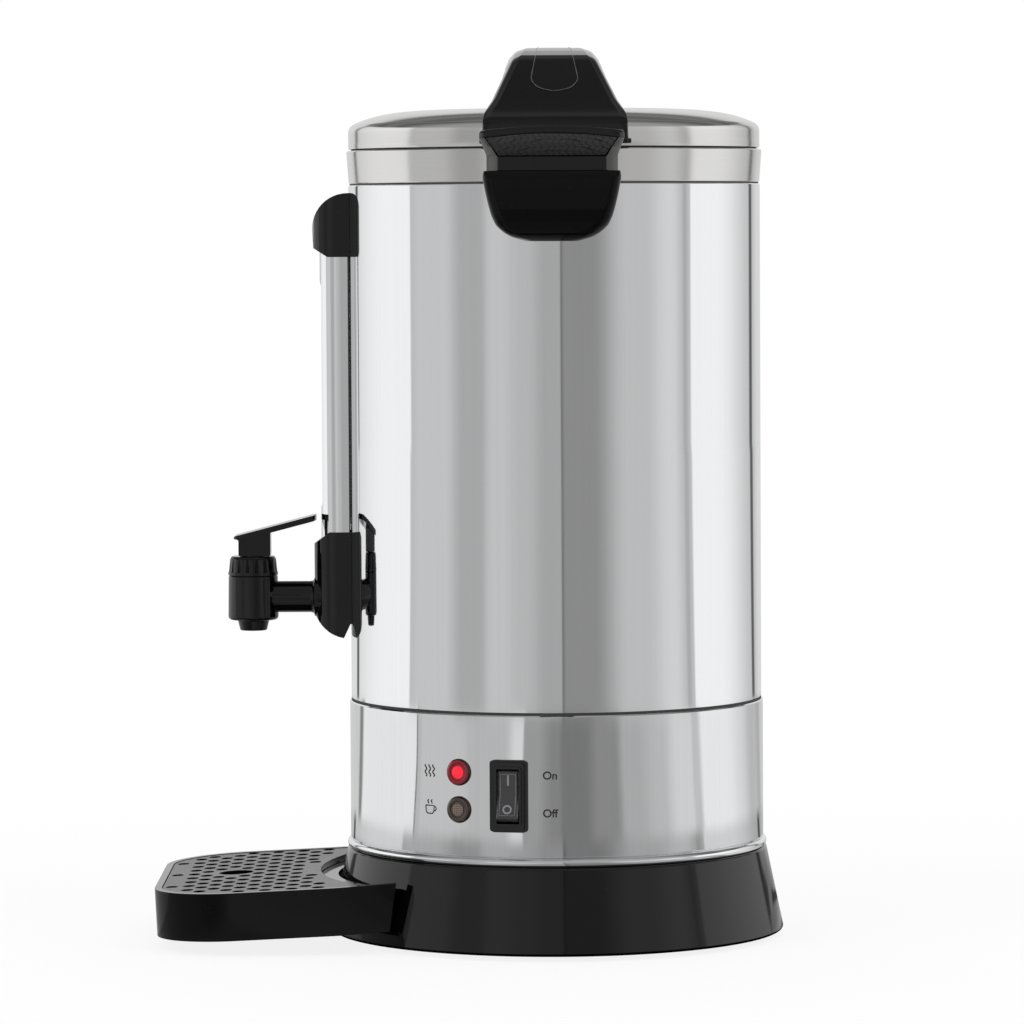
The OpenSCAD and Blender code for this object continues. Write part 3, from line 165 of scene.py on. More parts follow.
CAD_BOX = [list(corner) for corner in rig.bounds()]
RECORD = frame["record"]
BODY_OF = {node: body for body, nodes in RECORD["behaviour"]["bodies"].items() for node in nodes}
SLOT_OF = {part["node"]: part["material_slot"] for part in RECORD["subparts"]}

# Pieces are modelled in millimetres and settled in metres
MM = 0.001
TANK_R = 105
BAND_R = 105.8
TAP_X = -155.1
STRAP_TOP = 453.2

# Turns in degrees from the front, and heights, of what sits in the control band
SWITCH_TURN = -13.4
SWITCH_Z = 81.1
LAMP_TURN = -27.8
LAMP_Z = {"lamp_heating": 92.2, "lamp_warm": 73.6}

# Points closer than this, in metres, are one
WELD = 7e-6
# Steps of a turned piece that goes round the urn
ROUND = 256


# Sizes and colours that a user would change


def length(name, description, default):
    default *= MM
    return FloatProperty(name=name, description=description, default=default, min=0, precision=5, unit="LENGTH")


def colour(name, description, default):
    return FloatVectorProperty(
        name=name, description=description, default=default, size=3, min=0, max=1, subtype="COLOR",
    )


class UrnSizes(bpy.types.PropertyGroup):
    """Sizes of the dressed pieces"""

    edge_ease: length("Edge rounding", "Rounding of the moulded plastic edges", 0.6)
    fold_ease: length("Fold rounding", "Rounding of the folds in the steel sheet", 0.5)
    dome_rise: length("Lid dome", "Rise of the lid's dome inside its shoulder", 7.3)
    strap_rise: length("Lid handle crest", "Height of the lid handle's crest above the table", STRAP_TOP)
    lens_face: length("Lens face", "Radius of the flat face of a lamp lens", 3.1)
    word_size: length("Switch words", "Height of the words by the switch", 5.6)


class UrnColours(bpy.types.PropertyGroup):
    """Colours of the dressed pieces"""

    steel: colour("Steel", "Polished steel of the tank and band", (0.86, 0.865, 0.875))
    satin: colour("Satin steel", "Satin steel of the lid and collar", (0.71, 0.705, 0.695))
    black: colour("Black plastic", "Moulded black plastic", (0.0016, 0.0016, 0.0018))
    grille: colour("Grille plastic", "Satin black plastic of the drip grille", (0.012, 0.012, 0.0125))
    red: colour("Heating lamp", "Light of the heating lamp", (1.0, 0.012, 0.03))
    amber: colour("Warm lamp", "Unlit lens of the warm lamp", (0.15, 0.108, 0.088))
    print_ink: colour("Print", "Ink of the words and signs on the band", (0.008, 0.008, 0.009))
    mark: colour("Rocker marks", "Pale marks on the rocker", (0.27, 0.27, 0.28))
    rubber: colour("Rubber", "Feet and seals", (0.03, 0.03, 0.031))
    brass: colour("Brass", "Brass of the shank and terminals", (0.78, 0.58, 0.26))


# Shader trees written as expressions


class Value:
    """A socket of a shader tree that can take part in sums"""

    def __init__(self, shader, socket):
        self.shader = shader
        self.socket = socket

    def sum(self, operation, other=0.0):
        return self.shader.add("Math", {0: self, 1: other}, operation=operation)

    def sum_from(self, operation, other):
        return self.shader.add("Math", {0: other, 1: self}, operation=operation)

    __add__ = __radd__ = partialmethod(sum, "ADD")
    __sub__ = partialmethod(sum, "SUBTRACT")
    __rsub__ = partialmethod(sum_from, "SUBTRACT")
    __mul__ = partialmethod(sum, "MULTIPLY")
    __truediv__ = partialmethod(sum, "DIVIDE")
    __pow__ = partialmethod(sum, "POWER")
    biggest = partialmethod(sum, "MAXIMUM")
    arc = partialmethod(sum, "ARCTAN2")
    sine = partialmethod(sum, "SINE")
    size = partialmethod(sum, "ABSOLUTE")


class Shader:
    """The node tree of a material or of the world"""

    def __init__(self, owner):
        owner.use_nodes = True
        self.owner = owner
        self.tree = owner.node_tree
        self.tree.nodes.clear()

    def add(self, kind, inputs=None, out=0, **settings):
        node = self.tree.nodes.new("ShaderNode" + kind)
        for key, value in settings.items():
            setattr(node, key, value)
        for key, value in (inputs or {}).items():
            if isinstance(value, Value):
                self.tree.links.new(value.socket, node.inputs[key])
            else:
                node.inputs[key].default_value = value
        return Value(self, node.outputs[out])

    def place(self):
        return self.add("TexCoord", out="Object")

    def parts(self, vector):
        node = self.add("SeparateXYZ", {0: vector}).socket.node
        return [Value(self, socket) for socket in node.outputs]

    def noise(self, vector, scale, detail, rough=0.5):
        return self.add("TexNoise", {"Vector": vector, "Scale": scale, "Detail": detail, "Roughness": rough})

    def streaks(self, scale, detail, rough=0.5):
        """Noise with its own scale along each axis of the object"""
        return self.noise(self.add("Mapping", {"Vector": self.place(), "Scale": scale}), 1, detail, rough)

    def step(self, value, low, high):
        """Rises smoothly from 0 to 1 between two values"""
        return self.add("MapRange", {0: value, 1: low, 2: high}, interpolation_type="SMOOTHSTEP")

    def blend(self, share, first, second):
        return self.add("Mix", {0: share, 6: (*first, 1), 7: (*second, 1)}, 2, data_type="RGBA")

    def mix(self, share, first, second):
        return self.add("Mix", {0: share, 2: first, 3: second}, data_type="FLOAT")

    def bump(self, height, strength, distance):
        return self.add("Bump", {"Strength": strength, "Distance": distance, "Height": height})

    def ring_place(self, fine, round_scale):
        """Coordinates that run round the urn's axis, for circular brushing"""
        x, y, z = self.parts(self.place())
        radius = (x * x + y * y) ** 0.5
        return self.add("CombineXYZ", {0: radius * fine, 1: z * fine, 2: x.arc(0 - y) * round_scale})

    def ray(self, kind):
        """1 for rays of that kind"""
        return self.add("LightPath", out=f"Is {kind} Ray")

    def light(self, kind, strength):
        return self.add(kind, {"Color": (1, 1, 1, 1), "Strength": strength})

    def surface(self, **inputs):
        return self.show(self.add("BsdfPrincipled", {key.replace("_", " "): value for key, value in inputs.items()}))

    def show(self, shader):
        kind = "World" if isinstance(self.owner, bpy.types.World) else "Material"
        node = self.tree.nodes.new("ShaderNodeOutput" + kind)
        self.tree.links.new(shader.socket, node.inputs["Surface"])
        return self.owner


FINISHES = {}


def finish(name):
    """The material of that name, made the first time it is asked for"""
    if name not in FINISHES:
        make = globals()["finish_" + name]
        FINISHES[name] = make(bpy.context.scene.urn_colours, Shader(bpy.data.materials.new(name)))
    return FINISHES[name]


def tint(base, factor):
    return tuple(min(1.0, part * factor) for part in base)


def grained(s, low, high, scale, detail, rough, bump=None, **more):
    """A finish whose tone and roughness follow one fine noise"""
    grain = s.noise(s.place(), scale, detail)
    if bump:
        more["Normal"] = s.bump(grain, *bump)
    return s.surface(Base_Color=s.blend(grain, low, high), Roughness=rough[0] + grain * rough[1], **more)


def finish_polished_steel(c, s):
    lines = s.streaks((620, 620, 4), 3)
    cloud = s.streaks((9, 9, 5), 2)
    smear = s.streaks((40, 40, 24), 4, 0.6)
    tone = s.blend(lines, tint(c.steel, 0.97), tint(c.steel, 1.02))
    rough = 0.03 + lines * 0.02 + s.step(smear, 0.55, 0.8) * 0.025
    uneven = s.bump(cloud * 0.6 + lines * 0.02, 0.12, 0.0006)
    return s.surface(Base_Color=tone, Metallic=1.0, Roughness=rough, Normal=uneven)


def finish_rolled_steel(c, s):
    lines = s.streaks((620, 620, 4), 3)
    wave = s.streaks((34, 34, 7), 2, 0.45)
    smear = s.streaks((46, 46, 30), 4, 0.6)
    tone = s.blend(lines, tint(c.steel, 0.93), tint(c.steel, 1.0))
    rough = 0.035 + lines * 0.02 + s.step(smear, 0.5, 0.8) * 0.04
    return s.surface(Base_Color=tone, Metallic=1.0, Roughness=rough, Normal=s.bump(wave, 0.16, 0.0012))


def finish_satin_steel(c, s):
    hair = s.noise(s.ring_place(2600, 2.2), 1, 2, 0.6)
    cloud = s.streaks((22, 22, 40), 3)
    tone = s.blend(hair, tint(c.satin, 0.94), tint(c.satin, 1.03))
    rough = 0.09 + hair * 0.05 + cloud * 0.05
    return s.surface(Base_Color=tone, Metallic=1.0, Roughness=rough, Normal=s.bump(hair, 0.03, 0.0001))


def finish_dark_steel(c, s):
    grain = s.streaks((90, 900, 900), 3)
    stain = s.noise(s.place(), 30, 4)
    tone = s.blend(stain, (0.30, 0.30, 0.31), (0.46, 0.46, 0.47))
    rough = 0.34 + grain * 0.16
    return s.surface(Base_Color=tone, Metallic=1.0, Roughness=rough, Normal=s.bump(grain, 0.05, 0.0001))


def finish_bright_hardware(c, s):
    return grained(s, (0.66, 0.66, 0.67), (0.78, 0.78, 0.79), 700, 2, (0.2, 0.14), (0.04, 0.0001), Metallic=1.0)


def black_plastic(s, base, rough, peel, dust, ior=1.46):
    skin = s.noise(s.place(), peel, 2)
    cloud = s.noise(s.place(), 26, 3)
    specks = s.step(s.noise(s.place(), 900, 1), 0.735, 0.78)
    tone = s.blend(specks * dust, base, (0.16, 0.16, 0.165))
    rough = rough + cloud * 0.06 + specks * 0.2
    return s.surface(Base_Color=tone, Roughness=rough, IOR=ior, Normal=s.bump(skin, 0.02, 0.0002))


def finish_gloss_black(c, s):
    return black_plastic(s, c.black, 0.035, 420, 0.06)


# A darker, less reflective copy of the gloss black: painted shade, on the grip's lower part and in the bonnet's grooves
def finish_deep_black(c, s):
    return black_plastic(s, tint(c.black, 0.6), 0.03, 420, 0.04, 1.27)


# A darker, less reflective copy of the gloss black for the tray's upright walls: painted shade on its sides
def finish_tray_black(c, s):
    return black_plastic(s, tint(c.black, 0.8), 0.05, 420, 0.06, 1.36)


def finish_satin_black(c, s):
    return black_plastic(s, tint(c.black, 4), 0.2, 900, 0.12)


def finish_grille_black(c, s):
    return black_plastic(s, c.grille, 0.24, 1100, 0.3)


# A matt, barely reflecting black for the walls of the grille's holes: painted shade inside the holes
def finish_well_black(c, s):
    return grained(s, tint(c.black, 0.5), tint(c.black, 1.6), 900, 2, (0.7, 0.2), Specular_IOR_Level=0.05)


def finish_rocker_black(c, s):
    return black_plastic(s, tint(c.grille, 3.0), 0.1, 700, 0.1)


# Wavy grip pattern under the lip: the bump is a moulded texture, and its pale and dark tone is a painted reflection
def finish_grip_pad(c, s):
    x, y, z = s.parts(s.place())
    sway = (z * 1500).sine() * 0.8 + s.noise(s.place(), 140, 2) * 1.8
    across = s.step((x * 950 + sway).sine().size(), 0.04, 0.3)
    along = s.step((z * 1900 + x * x * 9000 + sway).sine().size(), 0.05, 0.35)
    tone = s.blend(across * along, tint(c.grille, 0.8), tint(c.grille, 4.6))
    return s.surface(Base_Color=tone, Roughness=0.28, IOR=1.5, Normal=s.bump(across * along, 0.2, 0.0001))


# Pale grey for the thin line round the lid handle's inlay: painted highlight along its edge
def finish_edge_line(c, s):
    return grained(s, (0.085, 0.085, 0.09), (0.14, 0.14, 0.15), 1200, 2, (0.22, 0.1))


# Pale grey for the lines round the rocker: painted highlight on its edges
def finish_clear_edge(c, s):
    return grained(s, (0.15, 0.15, 0.17), (0.28, 0.28, 0.31), 1200, 2, (0.16, 0.1))


def finish_silicone(c, s):
    return grained(s, tint(c.rubber, 0.8), tint(c.rubber, 1.5), 500, 3, (0.6, 0.2), (0.08, 0.0002))


def finish_bush_plastic(c, s):
    return grained(s, (0.05, 0.05, 0.053), (0.075, 0.075, 0.08), 800, 2, (0.42, 0.12), (0.04, 0.0001))


def finish_brass(c, s):
    return grained(s, tint(c.brass, 0.82), tint(c.brass, 1.1), 420, 3, (0.2, 0.14), (0.05, 0.0001), Metallic=1.0)


def finish_cast_aluminium(c, s):
    return grained(s, (0.56, 0.57, 0.58), (0.70, 0.71, 0.72), 260, 4, (0.38, 0.2), (0.15, 0.0003), Metallic=1.0)


def finish_gauge_glass(c, s):
    rough = 0.02 + s.streaks((120, 120, 14), 2) * 0.05
    return s.surface(Base_Color=(0.93, 0.97, 0.97, 1), Roughness=rough, IOR=1.47, Transmission_Weight=1.0)


def finish_pale_insulator(c, s):
    return grained(s, (0.74, 0.72, 0.66), (0.86, 0.84, 0.79), 340, 3, (0.5, 0.2), (0.06, 0.0002))


def finish_red_glow(c, s):
    cell = s.noise(s.place(), 900, 1)
    glow = s.blend(cell, tint(c.red, 0.9), (1.0, 0.03, 0.06))
    rough = 0.15 + cell * 0.1
    return s.surface(Base_Color=(0.3, 0.0, 0.004, 1), Roughness=rough, Emission_Color=glow, Emission_Strength=0.9)


def finish_red_lens(c, s):
    glow = s.blend(s.noise(s.place(), 260, 2), (0.06, 0.0, 0.002), (0.12, 0.0, 0.005))
    more = {"Emission_Color": glow, "Emission_Strength": 0.8, "Coat_Weight": 0.5}
    return grained(s, (0.07, 0.001, 0.004), (0.14, 0.003, 0.008), 260, 2, (0.08, 0.06), **more)


def finish_amber_lens(c, s):
    return grained(s, tint(c.amber, 0.18), tint(c.amber, 0.42), 260, 2, (0.08, 0.06), Coat_Weight=0.5)


# A dark copy of the lens colour, without glow, for the outer rim of each lens: painted shade at the lens's edge
def finish_lens_rim(c, s):
    return grained(s, (0.016, 0.005, 0.004), (0.034, 0.010, 0.009), 260, 2, (0.1, 0.08))


def finish_amber_face(c, s):
    x, y, z = s.parts(s.place())
    side = x * (math.cos(math.radians(LAMP_TURN)) / 0.00029)
    up = z * 3450
    net = s.step((side + up).sine() * (side - up).sine(), -0.25, 0.35)
    tone = s.blend(net, tint(c.amber, 0.5), tint(c.amber, 1.7))
    return s.surface(Base_Color=tone, Roughness=0.25, Normal=s.bump(net, 0.3, 0.0002))


def finish_print_ink(c, s):
    return grained(s, tint(c.print_ink, 0.7), tint(c.print_ink, 2.2), 2400, 2, (0.4, 0.15))


def finish_rocker_mark(c, s):
    return grained(s, tint(c.mark, 0.7), tint(c.mark, 1.0), 2400, 2, (0.4, 0.15))


# Modelling helpers


def size(name):
    """A size of the panel in millimetres"""
    return getattr(bpy.context.scene.urn_sizes, name) / MM


def wire(bm, points, closed=False):
    """Joins points by edges, for an operator to sweep"""
    verts = [bm.verts.new(p) for p in points]
    follow = verts[1:] + verts[:1] if closed else verts[1:]
    return verts, [bm.edges.new(pair) for pair in zip(verts, follow)]


def eased(points, steps=5):
    """A flat outline whose corners with a third number are rounded to that radius"""
    out = []
    for i, p in enumerate(points):
        here = Vector(p[:2])
        if len(p) < 3 or not p[2]:
            out.append(here)
            continue
        back = (Vector(points[i - 1][:2]) - here).normalized()
        ahead = (Vector(points[(i + 1) % len(points)][:2]) - here).normalized()
        half = math.acos(max(-1.0, min(1.0, back.dot(ahead)))) / 2
        centre = here + (back + ahead).normalized() * (p[2] / math.sin(half))
        start = here + back * (p[2] / math.tan(half)) - centre
        side = 1 if back.x * ahead.y - back.y * ahead.x < 0 else -1
        for k in range(steps + 1):
            out.append(centre + Matrix.Rotation(side * (math.pi - 2 * half) * k / steps, 2) @ start)
    return out


def spun(outline, steps=ROUND):
    """A closed outline of radius and height, spun round the Z axis"""
    bm = bmesh.new()
    verts, edges = wire(bm, [(p[0], 0, p[1]) for p in outline], closed=True)
    bmesh.ops.spin(
        bm, geom=verts + edges, cent=(0, 0, 0), axis=(0, 0, 1), angle=2 * math.pi, steps=steps, use_merge=True,
    )
    return bm


def lofted(loops):
    """A closed skin through loops of equally many points, capped at both ends"""
    bm = bmesh.new()
    rings = [wire(bm, loop, closed=True)[1] for loop in loops]
    for low, high in zip(rings, rings[1:]):
        bmesh.ops.bridge_loops(bm, edges=low + high)
    for ring in (rings[0], rings[-1]):
        bmesh.ops.edgeloop_fill(bm, edges=ring)
    return bm


def placed(bm, matrix):
    bmesh.ops.transform(bm, matrix=matrix, verts=bm.verts[:])
    return bm


def as_mesh(bm, name):
    mesh = bpy.data.meshes.new(name)
    bm.to_mesh(mesh)
    bm.free()
    return mesh


def added(name, data):
    """A new object in the scene"""
    thing = bpy.data.objects.new(name, data)
    bpy.context.scene.collection.objects.link(thing)
    return thing


def copied(node):
    """A CAD node's mesh in millimetres, merged and with its flat faces joined"""
    bm = bmesh.new()
    bm.from_mesh(frame["nodes"][node].data)
    placed(bm, Matrix.Scale(1 / MM, 4))
    bmesh.ops.remove_doubles(bm, verts=bm.verts[:], dist=0.003)
    bmesh.ops.dissolve_limit(bm, angle_limit=math.radians(0.5), verts=bm.verts[:], edges=bm.edges[:])
    return bm


def round_edges(bm, offset, segments=2, angle=40, chosen=None):
    """Rounds the edges that turn by more than an angle"""
    edges = [e for e in bm.edges if len(e.link_faces) == 2 and e.calc_face_angle(0) > math.radians(angle)]
    if chosen:
        edges = [e for e in edges if chosen(e)]
    bmesh.ops.bevel(
        bm, geom=edges, offset=offset, offset_type="OFFSET", segments=segments, profile=0.5,
        affect="EDGES", clamp_overlap=True, material=-1,
    )
    return bm


def set_second(bm, test):
    """Gives the faces that pass a test the piece's second finish"""
    for face in bm.faces:
        face.material_index = int(test(face))


def settle(
    bm, name, material, nodes=(), body=None, slot=None, smooth=32, weigh=True, outward=True, second=None,
):
    """Turns a bmesh in millimetres into a finished piece that rides on its body"""
    placed(bm, Matrix.Scale(MM, 4))
    bmesh.ops.remove_doubles(bm, verts=bm.verts[:], dist=WELD)
    if outward:
        bmesh.ops.recalc_face_normals(bm, faces=bm.faces[:])
    mesh = as_mesh(bm, name)
    mesh.shade_smooth()
    mesh.set_sharp_from_angle(angle=math.radians(smooth))
    for one in filter(None, (material, second)):
        mesh.materials.append(finish(one))
    piece = added(name, mesh)
    if weigh:
        even = piece.modifiers.new("Even normals", "WEIGHTED_NORMAL")
        even.keep_sharp = True
    nodes = [nodes] if isinstance(nodes, str) else list(nodes)
    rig.ride(piece, body or BODY_OF[nodes[0]])
    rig.slot(piece, slot or SLOT_OF[nodes[0]])
    if nodes:
        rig.replaces(piece, *nodes)
    return piece


def keep(**finishes):
    """CAD nodes whose shape is right get the finish they are listed under"""
    for material, nodes in finishes.items():
        for node in nodes.split():
            slots = frame["nodes"][node].data.materials
            slots.clear()
            slots.append(finish(material))


def ease_node(node, name, material, offset, segments=2, angle=40, chosen=None):
    """A CAD node's shape with its edges rounded"""
    bm = round_edges(copied(node), offset, segments, angle, chosen)
    return settle(bm, name, material, node, outward=False)


def add_box(bm, size, centre=(0, 0, 0)):
    """Adds a box to a bmesh"""
    bmesh.ops.create_cube(bm, size=1, matrix=Matrix.LocRotScale(Vector(centre), None, Vector(size)))


def on_band(turn, depth, z):
    """A place in the control band whose X axis points outwards"""
    return Matrix.Rotation(math.radians(turn - 90), 4, "Z") @ Matrix.Translation((BAND_R - depth, 0, z))


def merged(*parts):
    """Several bmeshes as one"""
    whole = bmesh.new()
    for part in parts:
        mesh = as_mesh(part, "part")
        whole.from_mesh(mesh)
        bpy.data.meshes.remove(mesh)
    return whole


def from_curve(curve):
    """A curve's evaluated mesh as a bmesh"""
    holder = added("line", curve)
    bpy.context.view_layer.update()
    mesh = bpy.data.meshes.new_from_object(holder.evaluated_get(bpy.context.evaluated_depsgraph_get()))
    bm = bmesh.new()
    bm.from_mesh(mesh)
    bpy.data.objects.remove(holder)
    bpy.data.meshes.remove(mesh)
    bpy.data.curves.remove(curve)
    return bm


def tube(points, thick, closed=False):
    """A round line through points"""
    curve = bpy.data.curves.new("line", "CURVE")
    curve.dimensions = "3D"
    curve.bevel_depth = thick
    curve.bevel_resolution = 1
    curve.use_fill_caps = not closed
    spline = curve.splines.new("POLY")
    spline.points.add(len(points) - 1)
    for point, place in zip(spline.points, points):
        point.co = (*place, 1)
    spline.use_cyclic_u = closed
    return from_curve(curve)


def along_keys(keys, place):
    """Values between the two keys that a place lies between"""
    place = min(max(place, keys[0][0]), keys[-1][0])
    for low, high in zip(keys, keys[1:]):
        if place <= high[0]:
            share = (place - low[0]) / (high[0] - low[0])
            return [a + (b - a) * share for a, b in zip(low[1:], high[1:])]


def soft_keys(keys, place, reach, samples=4):
    """Values along the keys, averaged over a short reach so that bends are round"""
    rows = [along_keys(keys, place + reach * k / samples) for k in range(-samples, samples + 1)]
    return [sum(column) / len(rows) for column in zip(*rows)]


# Lid outline shared by the lid and its handle: the dome, then the centre and radius of the round shoulder
DOME_R = 102.32
DOME_TOP = 421.75
DOME_POWER = 6.9
SHOULDER_X = 100.35
SHOULDER_Z = 410.4
SHOULDER_R = 4.5


def dome_height(r, rise):
    """Height of the lid's outside at a radius"""
    if r <= DOME_R:
        return DOME_TOP - rise * (max(r, 0.0) / DOME_R) ** DOME_POWER
    return SHOULDER_Z + math.sqrt(max(0.0, SHOULDER_R ** 2 - (r - SHOULDER_X) ** 2))


class URN_OT_steel_shell(bpy.types.Operator):
    """Polished tank, control band, trim ring and rim collar"""

    bl_idname = "urn.steel_shell"
    bl_label = "Steel shell"

    def execute(self, context):
        fold = size("fold_ease")
        tank = eased([
            (103.7, 113.9), (104.7, 113.9), (104.7, 122.2), (TANK_R, 122.2, 0.25), (TANK_R, 383.7, 0.8),
            (103.4, 383.7, 0.3), (103.4, 400.0), (102.4, 400.0), (102.4, 382.7), (104, 382.4, 0.6), (104, 123.2),
            (103.7, 122.3),
        ])
        settle(spun(tank), "tank_shell", "polished_steel", "tank_wall")
        collar = eased([
            (103.5, 384.2), (104.7, 384.2, 1.0), (105.9, 401.1, 0.9), (102.6, 401.1, 0.3), (102.6, 400.1),
            (103.5, 400.1),
        ], steps=8)
        settle(spun(collar), "rim_collar_rolled", "satin_steel", "rim_collar")
        ring = eased([(91.6, 45.5), (107.4, 45.5, 2.2), (107.4, 50, 2.2), (91.6, 50)], steps=12)
        settle(spun(ring), "trim_ring_bead", "polished_steel", "trim_ring")
        ease_node("control_band", "control_band_rolled", "rolled_steel", fold * 0.5, 2, 30)
        # Dark rings in the gaps at the band's top and under the collar: painted shade in the seams
        low_seam = spun([(104.62, 120.95), (104.97, 120.95), (104.97, 122.18), (104.62, 122.18)])
        high_seam = spun(eased([(103.3, 383.3), (104.3, 383.3, 0.3), (104.3, 385.0, 0.3), (103.3, 385.0)]))
        settle(merged(low_seam, high_seam), "shell_seam_painted_shade", "silicone", body="urn", slot="silicone")
        keep(satin_steel="tank_floor")
        return {"FINISHED"}


class URN_OT_stand(bpy.types.Operator):
    """Black skirt, bottom plate, feet and screws"""

    bl_idname = "urn.stand"
    bl_label = "Stand"

    def execute(self, context):
        keep(gloss_black="base_skirt", silicone="rubber_feet", dark_steel="base_plate", bright_hardware="base_screws")
        return {"FINISHED"}


class URN_OT_lid(bpy.types.Operator):
    """Domed lid with its liner, seal and screws"""

    bl_idname = "urn.lid"
    bl_label = "Lid"

    def execute(self, context):
        rise = size("dome_rise")
        sheet = 1.0
        turns = [math.radians(64) * k / 16 for k in range(17)]
        outer = [(SHOULDER_X + SHOULDER_R * math.cos(a), SHOULDER_Z + SHOULDER_R * math.sin(a)) for a in turns]
        radii = [DOME_R * (1 - (k / 40) ** 1.5) for k in range(1, 41)]
        outer += [(r, dome_height(r, rise)) for r in radii]
        inner = [(max(0.0, r - (sheet if r > 100 else 0.0)), z - sheet) for r, z in reversed(outer)]
        skirt = [(100.8, 401.8), (104.25, 401.8), (104.65, 401.95), (104.85, 402.4)]
        rim = [(103.85, 402.8), (100.8, 402.8)]
        dome = spun(skirt + outer + inner + rim)
        settle(dome, "lid_dome", "satin_steel", "lid_pan", smooth=40, weigh=False)
        keep(satin_steel="lid_liner", silicone="lid_seal", bright_hardware="lid_screws")
        return {"FINISHED"}


class URN_OT_lid_handle(bpy.types.Operator):
    """Strap handle over the lid, with its inlay"""

    bl_idname = "urn.lid_handle"
    bl_label = "Lid handle"

    # Where the strap ends, where the lid under it ends, and the height of the strap's foot past that
    END = 111.25
    LID_END = 104.9
    FOOT_Z = 403.0
    # Place along the strap, then height, half width of the top, width and drop of the shoulder, half width below
    KEYS = [
        (0, STRAP_TOP, 12.5, 10.0, 6.4, 24.9),
        (16, 452.57, 13.83, 8.83, 6.4, 25.1),
        (32, 450.67, 15.17, 7.67, 6.4, 25.3),
        (48, 447.5, 17.2, 6.6, 6.4, 26.4),
        (86.25, 425.0, 27.3, 5.4, 3.6, 34.2),
        (97.5, 418.6, 31.4, 4.0, 2.6, 36.1),
        (103.0, 416.0, 31.6, 4.0, 2.4, 36.3),
        (107.4, 412.8, 31.2, 4.4, 2.2, 36.3),
        (110.2, 408.8, 30.6, 5.0, 1.8, 36.3),
        (END, 405.2, 30.2, 5.4, 1.4, 36.3),
    ]
    # Half widths of the inlay along the strap, the last where its round end begins, and where its tip is
    INLAY = [(0, 7.8), (48, 9.4), (67, 11.6)]
    INLAY_TIP = 78.5

    def top(self, place, lift):
        """The row of KEYS at a place, with its bends rounded"""
        row = soft_keys(self.KEYS, abs(place), 2.6 if abs(place) < 100 else 0.8)
        row[0] += lift
        return row

    def under(self, place, rise):
        """Height of the underside: an arch for the hand, the slope down to the lid, then the foot"""
        place = abs(place)
        if place >= self.LID_END:
            return self.FOOT_Z
        space = 442 - place * place / 380 if place < 46 else 436.4 - 18.0 * (place - 46) / 29
        return max(space, dome_height(place, rise) + 0.1)

    def execute(self, context):
        lift = size("strap_rise") - STRAP_TOP
        rise = size("dome_rise")
        foot = [104.4, 105.0, 106.0, 107.0, 108.0, 109.0, 109.8, 110.5, 111.0, self.END]
        places = [-place for place in reversed(foot)] + [-103 + 206 * k / 90 for k in range(91)] + foot
        loops = []
        for place in places:
            z, half, bulge, drop, wide = self.top(place, lift)
            low = self.under(place, rise)
            drop = min(drop, (z - low) * 0.5)
            ease = min(1.0, (z - low - drop) / 4)
            side = half + bulge
            wide = wide if ease == 1 else side + (wide - side) * ease
            right = eased([
                (0, z), (half, z, 2.2), (half + bulge * 0.6, z - drop * 0.3, 6), (side, z - drop, 2.0 * ease),
                (wide, low, 0.9 * ease), (0, low),
            ], steps=4)
            section = right + [Vector((-p.x, p.y)) for p in reversed(right[1:-1])]
            loops.append([(p.x, place * math.sqrt(1 - (p.x / self.END) ** 2), p.y) for p in section])
        strap = lofted(loops)
        round_edges(strap, 1.0, 3, 45, lambda e: all(abs(v.co.y) > 100 for v in e.verts))
        tabs = bmesh.new()
        for side in (-1, 1):
            add_box(tabs, (74.8, 7.4, 2.4), (0, side * 99.3, 404.3))
        round_edges(tabs, 0.5)
        settle(merged(strap, tabs), "lid_strap", "gloss_black", "lid_handle", smooth=40)

        end, end_wide = self.INLAY[-1]
        plate = []
        for k in range(121):
            place = -self.INLAY_TIP + 2 * self.INLAY_TIP * k / 120
            reach = abs(place)
            wide = along_keys(self.INLAY, reach)[0]
            if reach > end:
                wide = math.sqrt(max(0.05, end_wide ** 2 - (reach - end) ** 2))
            z = self.top(place, lift)[0]
            low, high = z - 1.2, z + 0.12
            plate.append([(-wide, place, low), (wide, place, low), (wide, place, high), (-wide, place, high)])
        inlay = lofted(plate)
        round_edges(inlay, 0.22, 2, 45, lambda e: abs(e.verts[0].co.x) > 1)
        settle(inlay, "strap_inlay", "gloss_black", "handle_inlay", smooth=40)
        # A thin pale line round the inlay: painted highlight on its edge
        rim = [loop[2] for loop in plate] + [loop[3] for loop in reversed(plate)]
        settle(tube(rim, 0.17, closed=True), "inlay_painted_highlight", "edge_line", body="lid", slot="gloss_black", weigh=False)
        return {"FINISHED"}


